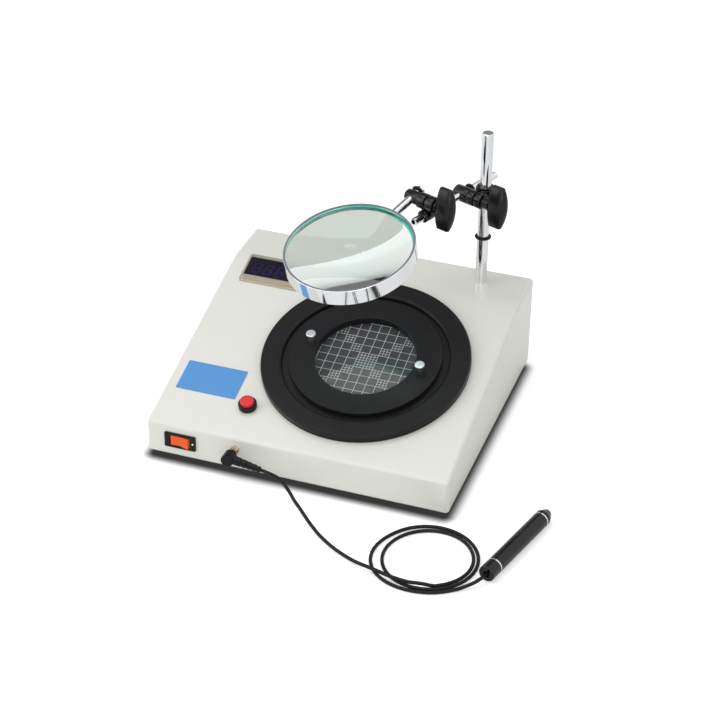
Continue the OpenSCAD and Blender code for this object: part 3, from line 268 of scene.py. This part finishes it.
# powder-coated sheet steel: an even semi-gloss skin with a faint orange peel
# the peel of about 0.8 mm is drawn at 2 mm so that it shows
coatSettings = {"cloud": (90, 3.0), "peel": (2, 2.0), "bump": 0.05, "depth": 0.0003,
                "glossBand": (-0.04, 0.06)}


def makePowderCoat(name, colour, shade, roughness):
    s = coatSettings
    material, tree, shader, place = newMaterial(name, **{"IOR": 1.5, "Specular IOR Level": 0.5})
    cloud = addNoise(tree, place, *s["cloud"])
    peel = addNoise(tree, place, *s["peel"])
    joinTo(tree, shader, {
        "Base Color": twoTone(tree, cloud, colour, shade),
        "Roughness": between(tree, cloud, *(roughness + step for step in s["glossBand"])),
        "Normal": addBump(tree, peel, s["bump"], s["depth"])})
    return material


# moulded plastic and rubber: spark-eroded mould grain, drawn at the given size so that it shows
mouldSettings = {"cloud": (14, 4.0), "grainDetail": 2.0, "bump": 0.2, "glossBand": (-0.05, 0.07)}


def makeMoulded(name, colour, shade, roughness, grain, depth, **settings):
    s = mouldSettings
    material, tree, shader, place = newMaterial(name, **{"IOR": 1.49, **settings})
    cloud = addNoise(tree, place, *s["cloud"])
    pits = addNoise(tree, place, grain, s["grainDetail"])
    joinTo(tree, shader, {
        "Base Color": twoTone(tree, cloud, colour, shade),
        "Roughness": between(tree, pits, *(roughness + step for step in s["glossBand"])),
        "Normal": addBump(tree, pits, s["bump"], depth)})
    return material


# plated or bare metal: bright, with faint rubbing marks that run with the given stretch
metalSettings = {"markDetail": 3.0, "glossParts": (0.7, 1.3)}


def makeMetal(name, colour, shade, roughness, mark, stretch):
    s = metalSettings
    material, tree, shader, place = newMaterial(name, Metallic=1.0)
    along = addNode(tree, "ShaderNodeMapping", {"Scale": stretch}, {"Vector": place})
    marks = addNoise(tree, along.outputs[0], mark, s["markDetail"])
    joinTo(tree, shader, {
        "Base Color": twoTone(tree, marks, colour, shade),
        "Roughness": between(tree, marks, *(roughness * part for part in s["glossParts"]))})
    return material


# black anodised aluminium, turned on a lathe: satin, with rings about the stage's middle
# the turning marks of 0.2 mm are drawn at 1.2 mm so that they show
turnedSettings = {"ring": 1.2, "ringDetail": 1.0, "cloud": (40, 4.0), "bump": 0.06, "depth": 0.0002,
                  "glossBand": (-0.05, 0.05)}


def makeTurnedBlack(name, colour, shade, roughness):
    s = turnedSettings
    material, tree, shader, place = newMaterial(name, **{"IOR": 1.5, "Specular IOR Level": 0.2})
    centre = panelMatrix(*panel["stage"]).translation
    onStage = localPlace(tree, place, centre, (panel["slope"], 0, 0))
    rings = addNode(tree, "ShaderNodeTexNoise",
                    {"noise_dimensions": "1D", "Scale": perMetre(s["ring"]), "Detail": s["ringDetail"]},
                    {"W": fromAxis(tree, onStage)}).outputs["Fac"]
    cloud = addNoise(tree, place, *s["cloud"])
    joinTo(tree, shader, {
        "Base Color": twoTone(tree, cloud, colour, shade),
        "Roughness": between(tree, rings, *(roughness + step for step in s["glossBand"])),
        "Normal": addBump(tree, rings, s["bump"], s["depth"])})
    return material


# ruled glass: a dark ground plate with pale printed squares of 10 mm, the middle four and the
# squares on both diagonals split in three each way
ruling = {"square": 10.0, "line": 0.42, "fineLine": 0.36, "parts": 3,
          "ground": "#3a3a3c", "shade": "#454548", "cloud": (25, 2.0), "ink": "#c9cccb"}


def makeRuledGlass():
    material, tree, shader, place = newMaterial("groundGlassRuled", **{"IOR": 1.52, "Roughness": 0.08})
    centre = panelMatrix(*panel["stage"]).translation
    onPlate = localPlace(tree, place, centre, (panel["slope"], 0, 0), ruling["square"] / 1000)
    lineMasks = []
    for parts, width in ((1, ruling["line"]), (ruling["parts"], ruling["fineLine"])):
        # distance to the nearest line, as a share of the cell
        ruled = addNode(tree, "ShaderNodeVectorMath", {"operation": "SCALE", "Scale": parts}, {0: onPlate})
        moved = addNode(tree, "ShaderNodeVectorMath", {"operation": "ADD", 1: (0.5, 0.5, 0.5)},
                        {0: ruled.outputs[0]})
        whole = addNode(tree, "ShaderNodeVectorMath", {"operation": "FLOOR"}, {0: moved.outputs[0]})
        away = addNode(tree, "ShaderNodeVectorMath", {"operation": "SUBTRACT"},
                       {0: ruled.outputs[0], 1: whole.outputs[0]})
        size = addNode(tree, "ShaderNodeVectorMath", {"operation": "ABSOLUTE"}, {0: away.outputs[0]})
        split = addNode(tree, "ShaderNodeSeparateXYZ", links={0: size.outputs[0]})
        nearest = addNode(tree, "ShaderNodeMath", {"operation": "MINIMUM"},
                          {0: split.outputs["X"], 1: split.outputs["Y"]})
        lineMasks.append(addNode(tree, "ShaderNodeMath",
                                 {"operation": "LESS_THAN", 1: width * parts / ruling["square"] / 2},
                                 {0: nearest.outputs[0]}).outputs[0])
    # cells with x = y lie on one diagonal, those with x + y = -1 on the other
    cells = addNode(tree, "ShaderNodeVectorMath", {"operation": "FLOOR"}, {0: onPlate})
    cell = addNode(tree, "ShaderNodeSeparateXYZ", links={0: cells.outputs[0]})
    rising = addNode(tree, "ShaderNodeMath", {"operation": "COMPARE", 2: 0.5},
                     {0: cell.outputs["X"], 1: cell.outputs["Y"]})
    total = addNode(tree, "ShaderNodeMath", {"operation": "ADD"}, {0: cell.outputs["X"], 1: cell.outputs["Y"]})
    falling = addNode(tree, "ShaderNodeMath", {"operation": "COMPARE", 1: -1.0, 2: 0.5}, {0: total.outputs[0]})
    diagonal = addNode(tree, "ShaderNodeMath", {"operation": "MAXIMUM"},
                       {0: rising.outputs[0], 1: falling.outputs[0]})
    fine = addNode(tree, "ShaderNodeMath", {"operation": "MULTIPLY"}, {0: lineMasks[1], 1: diagonal.outputs[0]})
    ink = addNode(tree, "ShaderNodeMath", {"operation": "MAXIMUM"}, {0: lineMasks[0], 1: fine.outputs[0]})
    ground = twoTone(tree, addNoise(tree, place, *ruling["cloud"]), ruling["ground"], ruling["shade"])
    printed = addNode(tree, "ShaderNodeMix", {"data_type": "RGBA", 7: hexColour(ruling["ink"])},
                      {0: ink.outputs[0], 6: ground})
    joinTo(tree, shader, {"Base Color": printed.outputs[2]})
    return material


# lens: dense optical glass, polished, faintly green; its ground edge has a painted sea-green glow, and its
# faces a painted sea-green band near the rim
lensSettings = {
    "centre": (0.01129, -0.02798, 0.19579), "turn": (math.radians(14), 0.0, math.radians(-21)),
    "ior": 1.9, "clear": "#f2f4ef", "mass": "#7aeaea", "density": 9.0,
    "rim": "#45b5a5", "rimMiddle": (0.0, -0.004, 0.0), "rimReach": (0.0655, 0.0625, 1.0),
    "rimBand": (0.985, 1.005),
    "edge": "#7fdccd", "edgeFrom": 0.0631, "edgeGlow": 0.35, "edgeRoughness": 0.8,
}


def makeLensGlass():
    lens = lensSettings
    material, tree, shader, place = newMaterial(
        "polishedOpticalGlass", **{"IOR": lens["ior"], "Emission Color": hexColour(lens["edge"])})
    onLens = localPlace(tree, place, lens["centre"], lens["turn"])
    moved = addNode(tree, "ShaderNodeVectorMath", {"operation": "SUBTRACT", 1: lens["rimMiddle"]}, {0: onLens})
    ratio = addNode(tree, "ShaderNodeVectorMath", {"operation": "DIVIDE", 1: lens["rimReach"]},
                    {0: moved.outputs[0]})
    share = addNode(tree, "ShaderNodeVectorMath", {"operation": "LENGTH"}, {0: ratio.outputs[0]})
    # painted sea-green band near the rim of the faces, standing in for the edge's light seen through the glass
    rimFrom, rimTo = lens["rimBand"]
    rim = addNode(tree, "ShaderNodeMapRange", {"interpolation_type": "SMOOTHSTEP", 1: rimFrom, 2: rimTo},
                  {0: share.outputs["Value"]})
    # the ground edge: opaque and sea-green, with a painted glow
    edge = addNode(tree, "ShaderNodeMath", {"operation": "GREATER_THAN", 1: lens["edgeFrom"]},
                   {0: fromAxis(tree, onLens)}).outputs[0]
    faceTint = twoTone(tree, rim.outputs[0], lens["clear"], lens["rim"])
    tint = addNode(tree, "ShaderNodeMix", {"data_type": "RGBA", 7: hexColour(lens["edge"])},
                   {0: edge, 6: faceTint})
    joinTo(tree, shader, {
        "Base Color": tint.outputs[2],
        "Roughness": between(tree, edge, 0.0, lens["edgeRoughness"]),
        "Transmission Weight": between(tree, edge, 1.0, 0.0),
        "Emission Strength": between(tree, edge, 0.0, lens["edgeGlow"])})
    mass = addNode(tree, "ShaderNodeVolumeAbsorption",
                   {"Color": hexColour(lens["mass"]), "Density": lens["density"]})
    tree.links.new(mass.outputs[0], tree.nodes["Material Output"].inputs["Volume"])
    return material


# clear acrylic: polished, tinted in the mass
def makeClear(name, colour, ior, roughness):
    return newMaterial(name, **{"IOR": ior, "Roughness": roughness, "Transmission Weight": 1.0,
                                "Base Color": hexColour(colour)})[0]


dull = {"Specular IOR Level": 0.2}     # blacks that give back little light
polished = {"Specular IOR Level": 0.4}
# one look for each slot: colour, shade and roughness, then for coatings nothing more, for moulded pieces
# the grain in mm and its depth in metres, and for metals the marks in mm and their stretch
materials = {
    "casing_paint": makePowderCoat("powderCoatedSteelOffWhite", "#e6e6df", "#e3e3dc", 0.19),
    "base_paint": makePowderCoat("powderCoatedSteelDark", "#3a3a3b", "#343435", 0.5),
    "zinc_steel": makeMetal("zincPlatedSteel", "#c6c8c8", "#b2b6b8", 0.3, 3, (1, 1, 1)),
    "black_rubber": makeMoulded("mouldedRubberBlack", "#141415", "#1b1b1c", 0.55, 0.6, 0.0002, **dull),
    "label_film": makeMoulded("printedFilmBlue", "#5297d8", "#4f93d3", 0.3, 1.0, 0.00005),
    "black_anodised": makeTurnedBlack("anodisedAluminiumBlack", "#121213", "#19191b", 0.34),
    "ruled_glass": makeRuledGlass(),
    "reflector_white": makeMoulded("mouldedPlasticWhite", "#f0f0ee", "#ebebe9", 0.5, 0.8, 0.0001),
    "lamp_glass": makeMoulded("coatedGlassTubeWhite", "#fafafa", "#f4f4f2", 0.2, 1.0, 0.00002),
    "spring_steel": makeMetal("springSteelBright", "#b9bbbc", "#a9abac", 0.3, 2, (1, 1, 1)),
    "chrome_plate": makeMetal("chromePlatedSteel", "#e9ebec", "#e2e4e6", 0.07, 30, (1, 1, 0.2)),
    "bezel_metal": makeMetal("anodisedAluminiumChampagne", "#d6d0c2", "#c8c1b0", 0.28, 0.6, (0.02, 1, 1)),
    "window_tint": makeClear("tintedAcrylicViolet", "#6a5a92", 1.49, 0.02),
    "digit_plastic": makeMoulded("mouldedPlasticDisplayBlack", "#121016", "#17151c", 0.4, 0.8, 0.00005, **dull),
    "board_green": makeMoulded("solderMaskGreen", "#2f6b3c", "#2a6036", 0.4, 1.5, 0.00005),
    "core_steel": makeMoulded("varnishedSteelBrown", "#7a5a3a", "#6c4f33", 0.4, 1.2, 0.0001),
    "switch_black": makeMoulded("mouldedNylonBlack", "#131314", "#181819", 0.36, 0.8, 0.00008, **dull),
    "rocker_orange": makeMoulded("mouldedPolycarbonateOrange", "#f04404", "#f46a14", 0.2, 2.5, 0.00006,
                                 **{"Specular IOR Level": 0.35, "Coat Weight": 0.1}),
    "button_red": makeMoulded("mouldedPlasticRed", "#e3222c", "#d91d28", 0.25, 1.0, 0.00004),
    "jack_metal": makeMetal("nickelledBrassDull", "#d8d0be", "#c4b79a", 0.22, 2, (1, 1, 1)),
    "clamp_black": makeMoulded("bluedSteelBrownBlack", "#0f0e0e", "#1c1613", 0.2, 2.5, 0.00003,
                               **{"Metallic": 0.2, "Specular IOR Level": 0.45}),
    "knob_black": makeMoulded("mouldedPhenolicBlack", "#0e0e0e", "#131313", 0.26, 1.0, 0.00004,
                              **{"Specular IOR Level": 0.28}),
    "lens_glass": makeLensGlass(),
    "plug_black": makeMoulded("mouldedPvcBlack", "#0e0e0f", "#141415", 0.28, 0.9, 0.0001, **dull),
    "lead_sheath": makeMoulded("extrudedPvcDarkGrey", "#151618", "#1b1c1e", 0.4, 1.5, 0.00005, **dull),
    "pen_black": makeMoulded("polishedAcrylicBlack", "#0a0a0b", "#0e0e10", 0.12, 2.0, 0.00002, **polished),
    "tip_grey": makeMoulded("fibreTipGrey", "#8f9092", "#7c7d80", 0.6, 0.7, 0.0001),
}
slotOf = {s["node"]: s["material_slot"] for s in frame["record"]["subparts"]}
for nodeName, nodeObject in nodes.items():
    nodeObject.data.materials.clear()
    nodeObject.data.materials.append(materials[slotOf[nodeName]])
probeCord.data.materials.append(materials["lead_sheath"])

# pieces that look different from the rest of their slot: a blackened screw, posts with a satin plating,
# and a retainer coloured in the sea-green of the lens's edge, with a faint painted glow
ownLooks = {
    "head_screw": materials["clamp_black"],
    "ring_posts": makeMetal("satinChromePlatedSteel", "#dcdee0", "#cccfd1", 0.3, 12, (1, 1, 0.15)),
    "lens_retainer": makeMoulded(
        "steelRingSeaGreenPaintedGlow", "#4fb3a4", "#459f93", 0.25, 1.5, 0.00002,
        # the glow is painted light, lifting the retainer where it sits in shade
        **{"Emission Color": hexColour(lensSettings["edge"]), "Emission Strength": 0.12}),
}
for nodeName, look in ownLooks.items():
    nodes[nodeName].data.materials[0] = look
nodes["lens_glass"].visible_shadow = False  # lamp light goes through the lens, as through real glass
print("materials:", len(materials))

# casing: a merged copy of the shell, so that its bends shade smoothly
casingSettings = {"mergeDistance": 0.00001, "smoothAngle": math.radians(32)}
pick(nodes["top_shell"])
bpy.ops.object.duplicate()
casingShell = bpy.context.view_layer.objects.active
casingShell.name = "casingShell"
bpy.ops.object.mode_set(mode="EDIT")
bpy.ops.mesh.select_all(action="SELECT")
bpy.ops.mesh.remove_doubles(threshold=casingSettings["mergeDistance"])
bpy.ops.object.mode_set(mode="OBJECT")
bpy.ops.object.shade_smooth_by_angle(angle=casingSettings["smoothAngle"])
evenShade = casingShell.modifiers.new("evenShade", "WEIGHTED_NORMAL")
evenShade.keep_sharp = True
bpy.ops.object.modifier_apply(modifier=evenShade.name)
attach(casingShell, "casing")
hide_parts("top_shell")
print("casing shell smoothed")

# pieces whose cut edges are broken: a merged copy of the solid with its sharp edges rounded
softEdges = {
    "rod_clamp_knob": {"piece": "rodKnobGrip", "body": "rod_knob", "radius": 0.0014},
    "arm_clamp_knob": {"piece": "armKnobGrip", "body": "arm_knob", "radius": 0.0014},
    "cross_head": {"piece": "crossHeadTurned", "body": "cross_head", "radius": 0.0004},
    "swivel_head": {"piece": "swivelHeadTurned", "body": "swivel_head", "radius": 0.0004},
    "rod_jaw_inner": {"piece": "rodJawInner", "body": "rod_clamp", "radius": 0.0006},
    "rod_jaw_outer": {"piece": "rodJawOuter", "body": "rod_clamp", "radius": 0.0006},
    "arm_jaw_inner": {"piece": "armJawInner", "body": "arm_clamp", "radius": 0.0006},
    "arm_jaw_outer": {"piece": "armJawOuter", "body": "arm_clamp", "radius": 0.0006},
    "power_rocker": {"piece": "rockerCap", "body": "power_rocker", "radius": 0.0006},
}
edgeSettings = {"mergeDistance": 0.000005, "flatAngle": math.radians(1), "sharpAngle": math.radians(50),
                "smoothAngle": math.radians(35), "segments": 3}
for nodeName, edge in softEdges.items():
    pick(nodes[nodeName])
    bpy.ops.object.duplicate()
    softened = bpy.context.view_layer.objects.active
    softened.name = edge["piece"]
    bpy.ops.object.mode_set(mode="EDIT")
    bpy.ops.mesh.select_all(action="SELECT")
    bpy.ops.mesh.remove_doubles(threshold=edgeSettings["mergeDistance"])
    bpy.ops.mesh.dissolve_limited(angle_limit=edgeSettings["flatAngle"])
    bpy.ops.object.mode_set(mode="OBJECT")
    rounding = softened.modifiers.new("brokenEdges", "BEVEL")
    rounding.width = edge["radius"]
    rounding.segments = edgeSettings["segments"]
    rounding.limit_method = "ANGLE"
    rounding.angle_limit = edgeSettings["sharpAngle"]
    rounding.use_clamp_overlap = False
    bpy.ops.object.modifier_apply(modifier=rounding.name)
    bpy.ops.object.shade_smooth_by_angle(angle=edgeSettings["smoothAngle"])
    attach(softened, edge["body"])
    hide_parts(nodeName)
print("edges broken on", len(softEdges), "pieces")

# the switch's mark: a small domed dot on the right of its frame
dotSettings = {"place": (-0.1057, -0.155114, 0.0255), "radius": 0.0011, "height": 0.0005, "sides": 24,
               "taper": 0.7, "smoothAngle": math.radians(60)}
deselectAll()
bpy.ops.mesh.primitive_circle_add(vertices=dotSettings["sides"], radius=dotSettings["radius"],
                                  fill_type="NGON", location=dotSettings["place"],
                                  rotation=(math.radians(90), 0, 0))
switchDot = bpy.context.view_layer.objects.active
switchDot.name = "switchDot"
bpy.ops.object.transform_apply(location=True, rotation=True, scale=True)
bpy.ops.object.mode_set(mode="EDIT")
bpy.ops.mesh.select_all(action="SELECT")
bpy.ops.mesh.extrude_region_move(TRANSFORM_OT_translate={"value": (0, -dotSettings["height"], 0)})
bpy.ops.transform.resize(value=(dotSettings["taper"], 1, dotSettings["taper"]),
                         center_override=dotSettings["place"])
bpy.ops.mesh.select_all(action="SELECT")
bpy.ops.mesh.normals_make_consistent(inside=False)
bpy.ops.object.mode_set(mode="OBJECT")
bpy.ops.object.shade_smooth_by_angle(angle=dotSettings["smoothAngle"])
switchDot.data.materials.append(materials["reflector_white"])
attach(switchDot, "casing")
print("switch mark made")

# display: unlit seven-segment digits on the faces of their blocks
digitSettings = {
    "count": 4, "pitch": 0.013, "height": 0.0146, "width": 0.0094, "bar": 0.002, "gap": 0.0004,
    "lean": math.radians(8), "thickness": 0.0002, "face": 0.00262, "middleBand": 0.0001,
}


def makeSegment(length, across, name):
    deselectAll()
    bpy.ops.mesh.primitive_circle_add(vertices=6, radius=across / 2, fill_type="NGON")
    bar = bpy.context.view_layer.objects.active
    bar.name = name
    bpy.ops.object.mode_set(mode="EDIT")
    bpy.ops.mesh.select_mode(type="VERT")
    stretch = (length - across) / 2
    for sign in (1, -1):
        bpy.ops.mesh.select_all(action="DESELECT")
        bpy.ops.object.mode_set(mode="OBJECT")
        for vertex in bar.data.vertices:
            vertex.select = sign * vertex.co.y > digitSettings["middleBand"] * across
        bpy.ops.object.mode_set(mode="EDIT")
        bpy.ops.transform.translate(value=(0, sign * stretch, 0))
    bpy.ops.mesh.select_all(action="SELECT")
    bpy.ops.mesh.extrude_region_move(TRANSFORM_OT_translate={"value": (0, 0, digitSettings["thickness"])})
    bpy.ops.mesh.select_all(action="SELECT")
    bpy.ops.mesh.normals_make_consistent(inside=False)
    bpy.ops.object.mode_set(mode="OBJECT")
    return bar


def makeDigits():
    d = digitSettings
    half = (d["height"] - d["bar"]) / 2
    across = d["width"] - d["bar"]
    upright = makeSegment(half - d["gap"], d["bar"], "segmentUpright")
    level = makeSegment(across - d["gap"], d["bar"], "segmentLevel")
    lean = Matrix(((1, math.tan(d["lean"]), 0, 0), (0, 1, 0, 0), (0, 0, 1, 0), (0, 0, 0, 1)))
    quarter = Matrix.Rotation(math.radians(90), 4, "Z")
    copies = []
    for i in range(d["count"]):
        middle = (i - (d["count"] - 1) / 2) * d["pitch"]
        places = [(upright, Matrix.Translation((x * across / 2, y * half / 2, 0)))
                  for x in (-1, 1) for y in (-1, 1)]
        places += [(level, Matrix.Translation((0, y * half, 0)) @ quarter) for y in (-1, 0, 1)]
        for source, place in places:
            copied = source.copy()
            copied.data = source.data.copy()
            scene.collection.objects.link(copied)
            copied.data.transform(panelMatrix(*panel["display"], d["face"])
                                  @ Matrix.Translation((middle, 0, 0)) @ lean @ place)
            copies.append(copied)
    deselectAll()
    for copied in copies:
        copied.select_set(True)
    bpy.context.view_layer.objects.active = copies[0]
    bpy.ops.object.join()
    segments = bpy.context.view_layer.objects.active
    segments.name = "displaySegments"
    for source in (upright, level):
        bpy.data.objects.remove(source)
    return segments


displaySegments = makeDigits()
displaySegments.data.materials.clear()
displaySegments.data.materials.append(
    makeMoulded("segmentInkViolet", "#6d4fb0", "#5d44a0", 0.35, 0.8, 0.00002))
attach(displaySegments, "casing")
print("display digits made")

# studio: white paper with a dark contact shadow round the casing, soft lamps and a white surround
floorSettings = {"size": 12.0, "paper": "#f6f6f6", "shadow": "#1e1e1f", "lift": 0.4, "mirroredLift": 0.2,
                 "casingMiddle": (0.0, -0.010114, 0.0), "casingHalf": (0.149, 0.137, 1.0),
                 "shadowFrom": 0.003, "shadowTo": 0.0165, "liftTo": 0.0195, "leastLift": 0.035,
                 "farFrom": 0.9, "farTo": 3.0, "farLift": 0.7}
deselectAll()
bpy.ops.mesh.primitive_plane_add(size=floorSettings["size"], location=(0, 0, 0))
floor = bpy.context.view_layer.objects.active
floor.name = "studioFloor"
floorMaterial, tree, shader, place = newMaterial(
    "paperSweepWhite", **{"Roughness": 0.9, "Emission Color": (1, 1, 1, 1), "Specular IOR Level": 0.0})
fromMiddle = addNode(tree, "ShaderNodeVectorMath",
                     {"operation": "SUBTRACT", 1: floorSettings["casingMiddle"]}, {0: place})
oneSide = addNode(tree, "ShaderNodeVectorMath", {"operation": "ABSOLUTE"}, {0: fromMiddle.outputs[0]})
outside = addNode(tree, "ShaderNodeVectorMath", {"operation": "SUBTRACT", 1: floorSettings["casingHalf"]},
                  {0: oneSide.outputs[0]})
beyond = addNode(tree, "ShaderNodeVectorMath", {"operation": "MAXIMUM", 1: (0, 0, 0)},
                 {0: outside.outputs[0]})
away = addNode(tree, "ShaderNodeVectorMath", {"operation": "LENGTH"}, {0: beyond.outputs[0]})
fade = addNode(tree, "ShaderNodeMapRange",
               {"interpolation_type": "SMOOTHSTEP", 1: floorSettings["shadowFrom"],
                2: floorSettings["shadowTo"]}, {0: away.outputs["Value"]})
paper = twoTone(tree, fade.outputs[0], floorSettings["shadow"], floorSettings["paper"])
rays = addNode(tree, "ShaderNodeLightPath")
direct = addNode(tree, "ShaderNodeMath", {"operation": "MAXIMUM"},
                 {0: rays.outputs["Is Camera Ray"], 1: rays.outputs["Is Transmission Ray"]})
mirrored = addNode(tree, "ShaderNodeMath", {"operation": "MULTIPLY", 1: floorSettings["mirroredLift"]},
                   {0: rays.outputs["Is Glossy Ray"]})
seen = addNode(tree, "ShaderNodeMath", {"operation": "MAXIMUM"},
               {0: direct.outputs[0], 1: mirrored.outputs[0]})
lift = addNode(tree, "ShaderNodeMapRange",
               {"interpolation_type": "SMOOTHSTEP", 1: floorSettings["shadowFrom"], 2: floorSettings["liftTo"],
                3: floorSettings["leastLift"], 4: floorSettings["lift"]}, {0: away.outputs["Value"]})
far = addNode(tree, "ShaderNodeMapRange",
              {"interpolation_type": "SMOOTHSTEP", 1: floorSettings["farFrom"], 2: floorSettings["farTo"],
               4: floorSettings["farLift"]}, {0: away.outputs["Value"]})
farSeen = addNode(tree, "ShaderNodeMath", {"operation": "MULTIPLY"},
                  {0: rays.outputs["Is Camera Ray"], 1: far.outputs[0]})
glow = addNode(tree, "ShaderNodeMath", {"operation": "MULTIPLY_ADD"},
               {0: seen.outputs[0], 1: lift.outputs[0], 2: farSeen.outputs[0]})
joinTo(tree, shader, {"Base Color": paper, "Emission Strength": glow.outputs[0]})
floor.data.materials.append(floorMaterial)

lamps = {
    "overhead": {"place": (-0.3, -0.1, 1.9), "aim": (0.0, 0.0, 0.05), "edge": (1.0, 0.0, 0.0),
                 "size": 1.6, "power": 11.0},
    "leftSide": {"place": (-1.6, -0.8, 1.0), "aim": (0.0, 0.0, 0.1), "edge": (0.0, 0.0, 1.0),
                 "size": 1.1, "power": 8.0},
    "frontFill": {"place": (0.9, -1.9, 0.9), "aim": (0.0, 0.0, 0.1), "edge": (0.0, 0.0, 1.0),
                  "size": 1.2, "power": 9.0},
}
for lampName, lamp in lamps.items():
    lampData = bpy.data.lights.new(lampName, "AREA")
    lampData.shape = "SQUARE"
    lampData.size = lamp["size"]
    lampData.energy = lamp["power"]
    lampObject = bpy.data.objects.new(lampName, lampData)
    scene.collection.objects.link(lampObject)
    back = (Vector(lamp["place"]) - Vector(lamp["aim"])).normalized()
    side = (Vector(lamp["edge"]) - back * back.dot(Vector(lamp["edge"]))).normalized()
    facing = Matrix((side, back.cross(side), back)).transposed().to_4x4()
    lampObject.matrix_world = Matrix.Translation(lamp["place"]) @ facing

# a grey board above and behind, which only reflections show
boardSettings = {"place": (-0.9, 1.3, 1.75), "aim": (0.0, 0.0, 0.15), "size": 2.3, "shade": "#8f9196"}
deselectAll()
bpy.ops.mesh.primitive_plane_add(size=boardSettings["size"], location=(0, 0, 0))
greyBoard = bpy.context.view_layer.objects.active
greyBoard.name = "studioBoard"
boardWay = Vector(boardSettings["aim"]) - Vector(boardSettings["place"])
boardTurn = boardWay.to_track_quat("Z", "Y").to_matrix().to_4x4()
greyBoard.data.transform(Matrix.Translation(boardSettings["place"]) @ boardTurn)
boardMaterial = newMaterial("paintedBoardGrey", **{
    "Base Color": (0, 0, 0, 1), "Specular IOR Level": 0.0,
    "Emission Color": hexColour(boardSettings["shade"]), "Emission Strength": 1.0})[0]
greyBoard.data.materials.append(boardMaterial)
for ray in ("camera", "diffuse", "transmission", "volume_scatter", "shadow"):
    setattr(greyBoard, "visible_" + ray, False)

surround = {"light": 0.55, "seen": 1.0}
world = bpy.data.worlds.new("studioSurround")
scene.world = world
world.use_nodes = True
tree = world.node_tree
tree.nodes.clear()
rays = addNode(tree, "ShaderNodeLightPath")
direct = addNode(tree, "ShaderNodeMath", {"operation": "MAXIMUM"},
                 {0: rays.outputs["Is Camera Ray"], 1: rays.outputs["Is Glossy Ray"]})
shown = addNode(tree, "ShaderNodeMath", {"operation": "MAXIMUM"},
                {0: direct.outputs[0], 1: rays.outputs["Is Transmission Ray"]})
strength = between(tree, shown.outputs[0], surround["light"], surround["seen"])
background = addNode(tree, "ShaderNodeBackground", {"Color": (1, 1, 1, 1)}, {"Strength": strength})
addNode(tree, "ShaderNodeOutputWorld", links={"Surface": background.outputs[0]})
print("studio lit")
